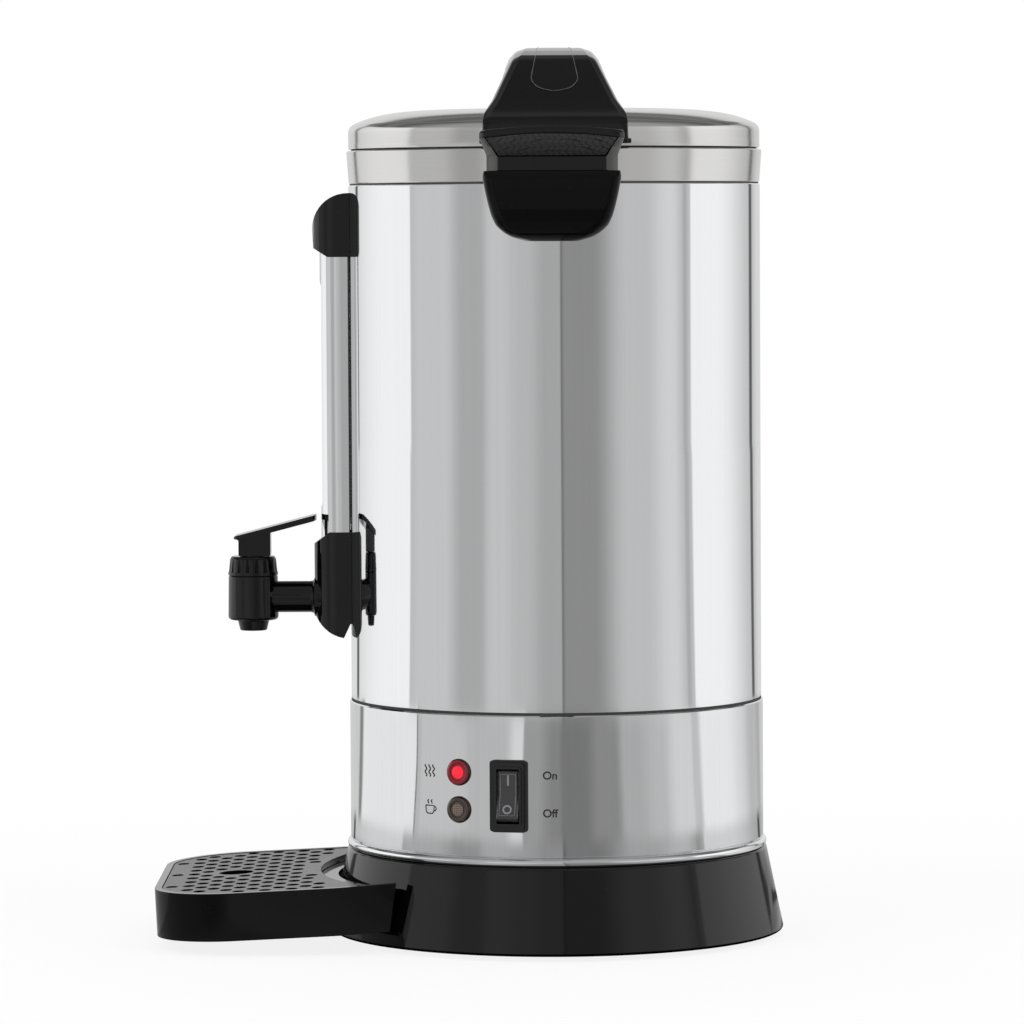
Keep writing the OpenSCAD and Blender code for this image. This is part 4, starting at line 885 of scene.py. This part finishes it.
class URN_OT_side_handles(bpy.types.Operator):
    """Grip handles at the front and the back of the rim"""

    bl_idname = "urn.side_handles"
    bl_label = "Side handles"

    # Height, then how far out, half width and corner radius of the shield below the grip
    SHIELD = [
        (355.2, 13.0, 12.4, 5.0), (355.9, 15.6, 15.6, 5.0), (357.4, 18.4, 20.4, 5.2), (359.4, 20.6, 23.6, 5.4),
        (361.3, 21.9, 25.8, 5.4), (363.3, 22.9, 27.7, 5.4), (367.2, 24.1, 29.5, 5.2), (371.1, 24.8, 30.7, 5.0),
        (375.1, 25.2, 31.7, 4.8), (380.2, 25.5, 32.8, 4.6), (386.6, 25.2, 33.9, 4.4), (389.6, 22.8, 33.5, 4.2),
    ]
    # Radius of the back at the rim collar and by the lid handle
    COLLAR_R = 106.0
    STRAP_R = 111.85
    # Height, how far out, half width, depth, width and flatness of the corners, radius of the back
    NECK = [
        (389.7, 12.5, 32.3, 12.3, 5.8, 0.8, COLLAR_R), (396.6, 12.5, 32.3, 12.3, 5.8, 0.8, COLLAR_R),
        (397.6, 13.3, 32.5, 12.2, 5.7, 0.8, COLLAR_R), (401.0, 19.1, 33.7, 9.6, 4.4, 0.8, COLLAR_R),
        (401.2, 19.4, 33.8, 9.5, 4.3, 0.8, STRAP_R), (405.4, 26.5, 35.4, 3.2, 2.6, 0.7, STRAP_R),
        (407.6, 26.5, 35.4, 3.2, 2.6, 0.7, STRAP_R), (408.5, 26.0, 35.1, 3.2, 2.6, 0.7, STRAP_R),
        (409.1, 24.9, 34.6, 3.2, 2.6, 0.7, STRAP_R),
    ]
    # Heights whose edges are rounded, where the lip starts to flare and where its edge is
    EASED = {389.6, 389.7, 396.6, 405.4, 409.1}
    FLARE_Z = 396.6
    EDGE_Z = 405.4
    # Rise of the lip's middle, and degrees that the handles are turned off the tap's cross axis
    ARCH = 2.2
    TURN = -0.9

    def outline(self, z, out, half, deep, wide, flat, back):
        """One level loop of the handle, drawn towards +X"""
        front = TANK_R + out
        points = []
        for side in (-1, 1):
            run = [(math.sqrt(back ** 2 - half ** 2), side * half), (front - deep, side * half)]
            for k in range(1, 10):
                a = math.radians(90 * k / 9)
                x = math.sin(a) * (1 - flat) + k / 9 * flat
                y = math.cos(a) * (1 - flat) + (1 - k / 9) * flat
                run.append((front - deep + deep * x, side * (half - wide + wide * y)))
            run += [(front, side * (half - wide) * (1 - k / 6)) for k in range(1, 6)]
            points += run if side < 0 else [(front, 0)] + run[::-1]
        for k in range(1, 10):
            y = half * (1 - k / 5)
            points.append((math.sqrt(back ** 2 - y ** 2), y))
        return [(x, y, z) for x, y in points]

    def arched(self, bm, turn):
        """Lifts the middle of the lip and turns the handle to its side of the urn"""
        for vert in bm.verts:
            share = min(1.0, max(0.0, (vert.co.z - self.FLARE_Z) / (self.EDGE_Z - self.FLARE_Z)))
            under = 0.7 * max(0.0, 1 - abs(vert.co.z - self.EDGE_Z) / 1.5)
            vert.co.z += (self.ARCH + under) * share * (1 - (vert.co.y / 35) ** 2)
        return placed(bm, Matrix.Rotation(math.radians(turn), 4, "Z"))

    def under_lip(self, face):
        """Whether a face is of the slanted underside of the lip, where the pad lies"""
        x, y, z = face.normal
        return 397.2 < face.calc_center_median().z < 405.2 and x > 0.2 and z < -0.3 and abs(y) < 0.12

    def build(self, name, node, turn):
        on_tank = [
            355.2, 355.5, 355.9, 356.6, 357.4, 358.4, 359.4, 361, 363, 365, 367.5, 370, 373, 376, 379, 382, 384.5,
        ]
        on_collar = [384.7, 386, 387.4, 388.4, 389.2, 389.6]
        rows = []
        for z in on_tank + on_collar:
            out, half, corner = soft_keys(self.SHIELD, z, 0.5)
            rows.append((z, out, half, corner, corner, 0.0, self.COLLAR_R if z in on_collar else TANK_R + 0.1))
        grip = lofted([self.outline(*row) for row in rows + self.NECK])
        bmesh.ops.recalc_face_normals(grip, faces=grip.faces[:])
        round_edges(grip, 0.6, 3, 24, lambda e: {round(v.co.z, 1) for v in e.verts} <= self.EASED)
        # A thin pad under the lip carries the grip pattern, whose pale and dark tone is a painted reflection
        pad = grip.copy()
        pad.normal_update()
        bmesh.ops.delete(pad, geom=[f for f in pad.faces if not self.under_lip(f)], context="FACES")
        border = bmesh.ops.inset_region(
            pad, faces=pad.faces[:], thickness=0.4, use_boundary=True, use_even_offset=True,
        )
        bmesh.ops.delete(pad, geom=border["faces"], context="FACES")
        bmesh.ops.solidify(pad, geom=pad.faces[:], thickness=0.25)
        placed(pad, Matrix.Translation((0.06, 0, -0.12)))
        # The lower part of the grip takes the darker copy of the black: painted shade
        set_second(grip, lambda face: face.calc_center_median().z < 389.2)
        settle(self.arched(grip, turn), name, "gloss_black", node, smooth=34, second="deep_black")
        settle(self.arched(pad, turn), name + "_pad", "grip_pad", body="urn", slot=SLOT_OF[node], weigh=False)

    def execute(self, context):
        self.build("grip_front", "handle_front", -90 + self.TURN)
        self.build("grip_rear", "handle_rear", 90 + self.TURN)
        keep(bright_hardware="handle_screws")
        return {"FINISHED"}


class URN_OT_gauge(bpy.types.Operator):
    """Level gauge with its cap, steel shield, housing and glass tube"""

    bl_idname = "urn.gauge"
    bl_label = "Level gauge"

    def execute(self, context):
        ease = size("edge_ease")
        ease_node("gauge_cap", "gauge_cap_moulded", "gloss_black", ease * 1.3, 3, 30)
        ease_node("gauge_housing", "gauge_housing_moulded", "gloss_black", ease * 1.3, 3, 30)
        low, high = (corner[2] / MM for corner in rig.box("gauge_shield"))
        # Dark strips in the gap along each side of the shield: painted shadow between the shield and the tank
        strips = bmesh.new()
        for side in (-1, 1):
            add_box(strips, (0.8, 0.7, high - low - 16), (-104.95, side * 10.9, (low + high) / 2))
        round_edges(strips, 0.15)
        settle(strips, "gauge_joint_painted_shadow", "silicone", body="urn", slot="silicone")
        keep(polished_steel="gauge_shield", gauge_glass="sight_tube", silicone="tube_seals")
        keep(bright_hardware="gauge_screw")
        return {"FINISHED"}


class URN_OT_tap(bpy.types.Operator):
    """Tap with its ribbed bonnet, lever, stem, spring and fixings"""

    bl_idname = "urn.tap"
    bl_label = "Tap"

    def in_groove(self, spot):
        """Whether a spot, measured from the bonnet's foot, lies in a groove between two ribs"""
        core, rib, lean, rib_foot, rib_run = 11.4, 12.4, 0.6, 1.5, 6.5
        skin = rib - lean * (spot.z - rib_foot) / rib_run
        return 1.6 < spot.z < 9 and core < spot.xy.length < skin - 0.12

    def execute(self, context):
        ease = size("edge_ease")
        ease_node("tap_barrel", "tap_barrel_moulded", "gloss_black", ease * 0.6, 2, 30)
        bonnet = round_edges(copied("tap_bonnet"), ease * 0.4)
        foot = Vector((TAP_X, 0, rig.box("tap_bonnet")[0][2] / MM))
        # Faces in the grooves between the ribs take the darker copy of the black: painted shade in the grooves
        set_second(bonnet, lambda face: self.in_groove(face.calc_center_median() - foot))
        settle(bonnet, "tap_bonnet_ribbed", "gloss_black", "tap_bonnet", outward=False, second="deep_black")
        lever = copied("tap_lever")
        lever.normal_update()
        top = max(lever.faces, key=lambda f: f.calc_area() if f.normal.z > 0.8 else 0.0).normal.copy()
        under = {v for f in lever.faces if f.normal.dot(top) < -0.995 and f.calc_area() > 8 for v in f.verts}
        bmesh.ops.translate(lever, vec=(0, 0, -0.6), verts=list(under))
        round_edges(lever, ease * 0.9, 3, 25)
        settle(lever, "tap_lever_moulded", "gloss_black", "tap_lever", outward=False)
        keep(bush_plastic="stem_bush", dark_steel="tap_stem", bright_hardware="lever_pin")
        keep(silicone="tap_seat shank_gasket", brass="tap_shank shank_nut")
        wire_r, coil_r, low, rise, turns, steps = 0.6, 4.6, 172.95, 14.7, 4, 128
        spring = bmesh.new()
        start = Matrix.Translation((TAP_X + coil_r, 0, low)) @ Matrix.Rotation(math.pi / 2, 4, "X")
        bmesh.ops.create_circle(spring, cap_ends=False, radius=wire_r, segments=10, matrix=start)
        bmesh.ops.spin(
            spring, geom=spring.verts[:] + spring.edges[:], cent=(TAP_X, 0, 0), axis=(0, 0, 1),
            dvec=(0, 0, rise / steps), angle=turns * 2 * math.pi, steps=steps,
        )
        bmesh.ops.holes_fill(spring, edges=[e for e in spring.edges if e.is_boundary], sides=0)
        coil = settle(spring, "tap_spring_wound", "bright_hardware", "tap_spring", weigh=False)
        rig.squash(coil, "stem_lift", axis=(0, 0, 1), anchor=(TAP_X * MM, 0, 0.1723), keep=0.902)
        return {"FINISHED"}


class URN_OT_switch(bpy.types.Operator):
    """Rocker switch with its frame and marks"""

    bl_idname = "urn.switch"
    bl_label = "Rocker switch"

    # How far the rocker's face stands out at its middle, and how far its marks are from there
    FACE_X = 4.4
    MARK_Z = 7.2

    def execute(self, context):
        ease = size("edge_ease")
        keep(brass="switch_blades")
        lean = math.radians(9)
        seat = on_band(SWITCH_TURN, 2.2, SWITCH_Z) @ Matrix.Rotation(-lean, 4, "Y")
        home = seat.inverted()
        frame_bm = copied("switch_frame")
        for vert in frame_bm.verts:
            spot = home @ vert.co
            if abs(spot.y) > 8.4:
                vert.co += seat.col[1].xyz * math.copysign(0.5, spot.y)
        round_edges(frame_bm, ease * 0.5)
        settle(frame_bm, "switch_frame_moulded", "satin_black", "switch_frame", outward=False)

        def face_edge(edge):
            """Whether an edge runs round the rocker's face"""
            in_front = all((home @ v.co).x > 3.6 for v in edge.verts)
            return in_front and any(f.normal.dot(seat.col[0].xyz) > 0.9 for f in edge.link_faces)

        ease_node("switch_rocker", "switch_rocker_moulded", "rocker_black", ease * 2.2, 1, 30, chosen=face_edge)
        # Two pale outlines round the rocker's face: painted highlight on its edges
        lines = []
        for half, tall, lift, thick in ((3.95, 10.2, 0.0, 0.15), (5.3, 11.3, -0.75, 0.12)):
            ends = [(-1, -1, tall), (-1, 1, 0), (-1, 1, tall), (1, 1, tall), (1, 1, 0), (1, -1, tall)]
            face = [(self.FACE_X + lift + up * math.tan(lean), side * half, sign * up) for side, sign, up in ends]
            lines.append(placed(tube(face, thick, closed=True), seat))
        settle(merged(*lines), "rocker_edge_painted_highlight", "clear_edge", body="switch_key", slot="satin_black", weigh=False)
        marks = []
        for up in (-1, 1):
            out = self.FACE_X + self.MARK_Z * math.tan(lean)
            face = Matrix.Translation((out, 0, up * self.MARK_Z)) @ Matrix.Rotation(up * lean, 4, "Y")
            if up > 0:
                sign = bmesh.new()
                add_box(sign, (0.16, 0.9, 5.2))
                round_edges(sign, 0.06)
            else:
                ring = spun([(1.5, -0.08), (2.3, -0.08), (2.3, 0.08), (1.5, 0.08)], 40)
                sign = placed(ring, Matrix.Rotation(math.pi / 2, 4, "Y"))
            marks.append(placed(sign, seat @ face))
        settle(merged(*marks), "rocker_marks", "rocker_mark", body="switch_key", slot="satin_black", weigh=False)
        return {"FINISHED"}


class URN_OT_lamps(bpy.types.Operator):
    """Heating lamp, warm lamp and their holders"""

    bl_idname = "urn.lamps"
    bl_label = "Lamps"

    def execute(self, context):
        face = size("lens_face")
        finishes = {"lamp_heating": ("red_lens", "red_glow"), "lamp_warm": ("amber_lens", "amber_face")}
        for node, (lens, front) in finishes.items():
            seat = on_band(LAMP_TURN, 0, LAMP_Z[node]) @ Matrix.Rotation(math.pi / 2, 4, "Y")
            body = spun(eased([
                (0, -0.4), (6.7, -0.4), (6.7, 0.45, 0.4), (5.9, 1.5, 0.5), (face + 1.9, 1.85, 0.4),
                (face + 1.2, 1.75, 0.3), (face + 0.9, 1.05), (0, 1.05),
            ], steps=6), 64)
            # The outer rim of each lens takes the dark copy: painted shade
            set_second(body, lambda part: part.calc_center_median().xy.length >= 6.0)
            settle(placed(body, seat), node + "_lens", lens, node, second="lens_rim")
            glow = eased([(0, 0.9), (face, 0.9), (face, 1.68, 0.3), (face * 0.5, 1.82, 2.0), (0, 1.86)], steps=4)
            settle(placed(spun(glow, 64), seat), node + "_face", front, body="urn", slot=SLOT_OF[node])
        keep(satin_black="lamp_holders")
        return {"FINISHED"}


class URN_OT_prints(bpy.types.Operator):
    """Plain switch words and lamp signs printed on the band"""

    bl_idname = "urn.prints"
    bl_label = "Prints"

    # Turns of the words and of the signs, and thickness of the ink
    WORD_TURN = -4.3
    SIGN_TURN = -37.2
    INK = 0.012

    def wrap(self, bm, angle, z):
        """Bends a flat print round the band"""
        for vert in bm.verts:
            a = math.radians(angle - 90) + vert.co.x / BAND_R
            radius = BAND_R + 0.02 + vert.co.z
            vert.co = (radius * math.cos(a), radius * math.sin(a), z + vert.co.y)
        return bm

    def word(self, text):
        curve = bpy.data.curves.new("word", "FONT")
        curve.body = text
        curve.size = size("word_size")
        curve.extrude = self.INK
        curve.offset = 0.11
        curve.align_x = "LEFT"
        return from_curve(curve)

    def line(self, points, thick):
        flat = Matrix.Diagonal((1, 1, self.INK / thick, 1))
        return placed(tube([(x, y, 0) for x, y in points], thick), flat)

    def execute(self, context):
        words = {"On": 89.6, "Off": 70.8}
        pieces = [self.wrap(self.word(text), self.WORD_TURN, z) for text, z in words.items()]
        for x in (-2.4, 0, 2.4):
            rising = [(x + 0.55 * math.sin(k * 0.75), -3 + 6 * k / 16) for k in range(17)]
            pieces.append(self.wrap(self.line(rising, 0.36), self.SIGN_TURN, LAMP_Z["lamp_heating"]))
        cup = [(-2.6, 1.6), (-2.4, -1.4), (-1.5, -2.4), (1.5, -2.4), (2.4, -1.4), (2.6, 1.6), (-2.6, 1.6)]
        ear = [(2.55, 1.0), (3.6, 0.9), (3.9, -0.1), (3.3, -0.9), (2.45, -0.9)]
        warm = [[(x + 0.3 * math.sin(k * 0.8), 2.6 + 2 * k / 10) for k in range(11)] for x in (-1.1, 1.1)]
        for stroke in [cup, ear] + warm:
            pieces.append(self.wrap(self.line(stroke, 0.33), self.SIGN_TURN, LAMP_Z["lamp_warm"] - 0.4))
        prints = merged(*pieces)
        settle(prints, "band_prints", "print_ink", body="urn", slot="satin_black", weigh=False, outward=False)
        return {"FINISHED"}


class URN_OT_inlet(bpy.types.Operator):
    """Mains inlet at the back"""

    bl_idname = "urn.inlet"
    bl_label = "Mains inlet"

    def execute(self, context):
        ease = size("edge_ease")
        ease_node("inlet_socket", "inlet_socket_moulded", "satin_black", ease * 0.6)
        keep(brass="inlet_pins", bright_hardware="inlet_screws")
        return {"FINISHED"}


class URN_OT_heater(bpy.types.Operator):
    """Heating plate, elements, thermostats and terminals under the tank"""

    bl_idname = "urn.heater"
    bl_label = "Heater"

    def execute(self, context):
        keep(cast_aluminium="heater_plate", dark_steel="heating_element keep_warm_element clamp_bar")
        keep(bright_hardware="clamp_stud clamp_nut", pale_insulator="thermostat thermal_cutout terminal_block")
        return {"FINISHED"}


class URN_OT_drip_tray(bpy.types.Operator):
    """Drip tray and its perforated grille"""

    bl_idname = "urn.drip_tray"
    bl_label = "Drip tray"

    # Half lengths up to which a hole is one of the pattern, or a hole at all, and how much the pattern's holes grow
    SMALL_HOLE = 5
    ANY_HOLE = 12
    GROWTH = (1.14, 1.45, 1)

    def holes(self, bm):
        """Joined groups of upright faces: the outer wall and the wall of each hole"""
        left = {face for face in bm.faces if abs(face.normal.z) < 0.1}
        while left:
            group = [left.pop()]
            for face in group:
                near = {other for edge in face.edges for other in edge.link_faces} & left
                left -= near
                group += near
            yield group

    def execute(self, context):
        ease = size("edge_ease")
        pan = round_edges(copied("tray_pan"), ease, 3)
        pan.normal_update()
        # The tray's upright walls take the darker copy of its black: painted shade
        set_second(pan, lambda wall: abs(wall.normal.z) < 0.3)
        settle(pan, "tray_pan_moulded", "gloss_black", "tray_pan", outward=False, second="tray_black")
        grille = copied("tray_grille")
        grille.normal_update()
        grille.verts.index_update()
        for hole in self.holes(grille):
            verts = sorted({v for face in hole for v in face.verts}, key=lambda v: v.index)
            middle = sum((v.co for v in verts), Vector()) / len(verts)
            reach = max((v.co - middle).length for v in verts)
            # The walls of each hole take the matt black: painted shade in the holes
            if reach < self.ANY_HOLE:
                for face in hole:
                    face.material_index = 1
            if reach < self.SMALL_HOLE:
                bmesh.ops.scale(grille, vec=self.GROWTH, space=Matrix.Translation(-middle), verts=verts)
        round_edges(grille, ease * 0.3, chosen=lambda e: all(face.material_index == 0 for face in e.link_faces))
        settle(grille, "tray_grille_moulded", "grille_black", "tray_grille", outward=False, second="well_black")
        return {"FINISHED"}


class URN_OT_stage(bpy.types.Operator):
    """Camera, floor, lamps and the white studio round the urn"""

    bl_idname = "urn.stage"
    bl_label = "Studio"

    # Panels round the urn as degrees from the camera towards +X: from, to, softness at each end, brightness
    PANELS = [
        (-181, -150, 1, 6, 0.72), (-142, -88, 34, 0.7, 1.0), (-148, -143.5, 1.2, 1.2, 0.12), (-84, -58, 3, 6, 0.62),
        (-58, -38, 6, 5, 0.44), (-38, -24, 4, 6, 0.60), (-24, -13, 6, 6, 0.52), (-12, 3, 6, 0.6, 0.42),
        (3, 30, 0.6, 10, 0.29), (2.7, 4.0, 0.4, 0.9, 0.19), (58, 72, 8, 4, 0.72), (75.5, 78.5, 1, 1, 0.46),
        (81, 122, 0.8, 22, 1.0), (139.5, 144.5, 1.4, 1.4, 0.12), (150, 181, 5, 1, 0.72),
    ]
    WALL = 0.57
    # Floor strips that the band mirrors, by the same angle: start, softness, brightness
    STRIPS = [
        (-181, 0, 0.66), (-138, 1.5, 0.26), (-132.5, 1.5, 0.90), (-81.3, 0.3, 0.14), (-80.5, 0.3, 0.54),
        (-77.6, 1, 0.61), (-48.6, 5, 0.535), (-24.9, 3, 0.76), (-16.7, 0.8, 0.36), (-6.8, 5, 0.26), (1.8, 2, 0.205),
        (17.9, 4, 0.285), (33.1, 3, 0.46), (48.3, 6, 0.55), (61.6, 5, 0.73), (76.8, 1.2, 0.60), (82.5, 2, 0.93),
        (112, 9, 0.76), (125.3, 8, 0.54), (143, 3, 0.46), (151, 3, 0.63),
    ]

    def angle(self, x, y):
        """Degrees from the camera towards +X"""
        return x.arc(0 - y) * (180 / math.pi)

    def walls(self, s, angle):
        """Brightness of the studio by direction"""
        level = self.WALL
        for low, high, soft_low, soft_high, bright in self.PANELS:
            begun = s.step(angle, low - soft_low, low + soft_low)
            over = s.step(angle, high - soft_high, high + soft_high)
            level = s.mix(begun * (1 - over), level, bright)
        return level

    def strips(self, s, angle):
        """Brightness of the floor by direction"""
        level = self.STRIPS[0][2]
        for start, soft, bright in self.STRIPS[1:]:
            level = s.mix(s.step(angle, start - soft, start + soft), level, bright)
        return level

    def execute(self, context):
        scene = context.scene
        scene.view_settings.view_transform = "Standard"
        lens = bpy.data.cameras.new("camera")
        lens.sensor_width = 36
        lens.lens = 189.84
        lens.clip_end = 50
        scene.camera = camera = added("camera", lens)
        camera.matrix_world = (
            Matrix.Translation((-0.0223, -2.76222, 0.36535)) @ Matrix.Rotation(math.pi / 2 - 0.0539136, 4, "X")
            @ Matrix.Rotation(-0.0054338, 4, "Z")
        )

        scene.world = bpy.data.worlds.new("studio")
        s = Shader(scene.world)
        x, y, z = s.parts(s.add("TexCoord"))
        walls = self.walls(s, self.angle(x, y)) * (1.0 + s.step(z, 0.0, 0.05) * 0.08)
        rear = s.step(y, -0.2, 0.2)
        slats = ((y / z.biggest(0.05)) * 9).sine() * 0.5 + 0.5
        ceiling = s.mix(rear, 0.40, 0.12 + slats * 0.12)
        room = s.mix(s.step(z, s.mix(rear, 0.22, 0.38), s.mix(rear, 0.55, 0.43)), walls, ceiling)
        seen = s.ray("Camera").biggest(s.ray("Transmission"))
        s.show(s.light("Background", s.mix(seen, s.mix(s.ray("Glossy"), 0.55, room), 1.0)))

        floor = bmesh.new()
        bmesh.ops.create_circle(floor, cap_ends=True, radius=6, segments=96)
        mesh = as_mesh(floor, "floor")
        ground = added("floor", mesh)
        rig.stage(ground)
        s = Shader(bpy.data.materials.new("floor"))
        x, y, z = s.parts(s.place())
        away = (x * x + y * y) ** 0.5
        matt = s.add("BsdfDiffuse", {"Color": (0.93, 0.93, 0.93, 1)})
        white = s.light("Emission", 1.0)
        plain = s.add("MixShader", {0: 0.86 + s.step(away, 0.22, 0.75) * 0.14, 1: matt, 2: white})
        angle = self.angle(x, y)
        panels = self.walls(s, angle)
        near = s.mix(s.step(away, 0.56, 0.66), panels * 0.72, self.strips(s, angle))
        level = s.mix(s.step(away, 1.40, 1.45), near, panels) * s.step(away, 0.118, 0.17)
        beside_tray = (1 - s.step(x, -0.25, -0.18)) * (1 - s.step(away, 0.42, 0.52))
        mirrored = s.light("Emission", level * (1 - beside_tray * 0.5))
        mesh.materials.append(s.show(s.add("MixShader", {0: s.ray("Glossy"), 1: plain, 2: mirrored})))

        for name, place, wide, power in (
            ("lamp_left", (-1.6, -1.3, 1.9), 1.4, 16), ("lamp_right", (1.7, -1.0, 1.7), 1.4, 12),
            ("lamp_top", (0.1, 0.5, 2.4), 1.8, 16),
        ):
            light = bpy.data.lights.new(name, "AREA")
            light.size = wide
            light.energy = power
            lamp = added(name, light)
            lamp.location = place
            lamp.rotation_euler = (Vector((0, 0, 0.2)) - Vector(place)).to_track_quat("-Z", "Y").to_euler()
            lamp.visible_glossy = False
        return {"FINISHED"}


STEPS = (
    URN_OT_stage, URN_OT_steel_shell, URN_OT_stand, URN_OT_lid, URN_OT_lid_handle, URN_OT_side_handles, URN_OT_gauge,
    URN_OT_tap, URN_OT_switch, URN_OT_lamps, URN_OT_prints, URN_OT_inlet, URN_OT_heater, URN_OT_drip_tray,
)


class URN_PT_panel(bpy.types.Panel):
    """Lists the urn's sizes, colours and steps"""

    bl_idname = "URN_PT_panel"
    bl_label = "Hot Water Urn"
    bl_space_type = "VIEW_3D"
    bl_region_type = "UI"
    bl_category = "Urn"

    def draw(self, context):
        for group in (context.scene.urn_sizes, context.scene.urn_colours):
            for name in group.__annotations__:
                self.layout.prop(group, name)
        for step in STEPS:
            self.layout.operator(step.bl_idname)


CLASSES = (UrnSizes, UrnColours, *STEPS, URN_PT_panel)


def register():
    for cls in CLASSES:
        bpy.utils.register_class(cls)
    bpy.types.Scene.urn_sizes = PointerProperty(type=UrnSizes)
    bpy.types.Scene.urn_colours = PointerProperty(type=UrnColours)


def unregister():
    del bpy.types.Scene.urn_colours
    del bpy.types.Scene.urn_sizes
    for cls in reversed(CLASSES):
        bpy.utils.unregister_class(cls)


def main():
    register()
    for step in STEPS:
        area, name = step.bl_idname.split(".")
        getattr(getattr(bpy.ops, area), name)()
    box = [list(corner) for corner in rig.bounds()]
    with open("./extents.json", "w") as out:
        json.dump({"cad": CAD_BOX, "visual": box}, out)


if __name__ == "__main__":
    main()
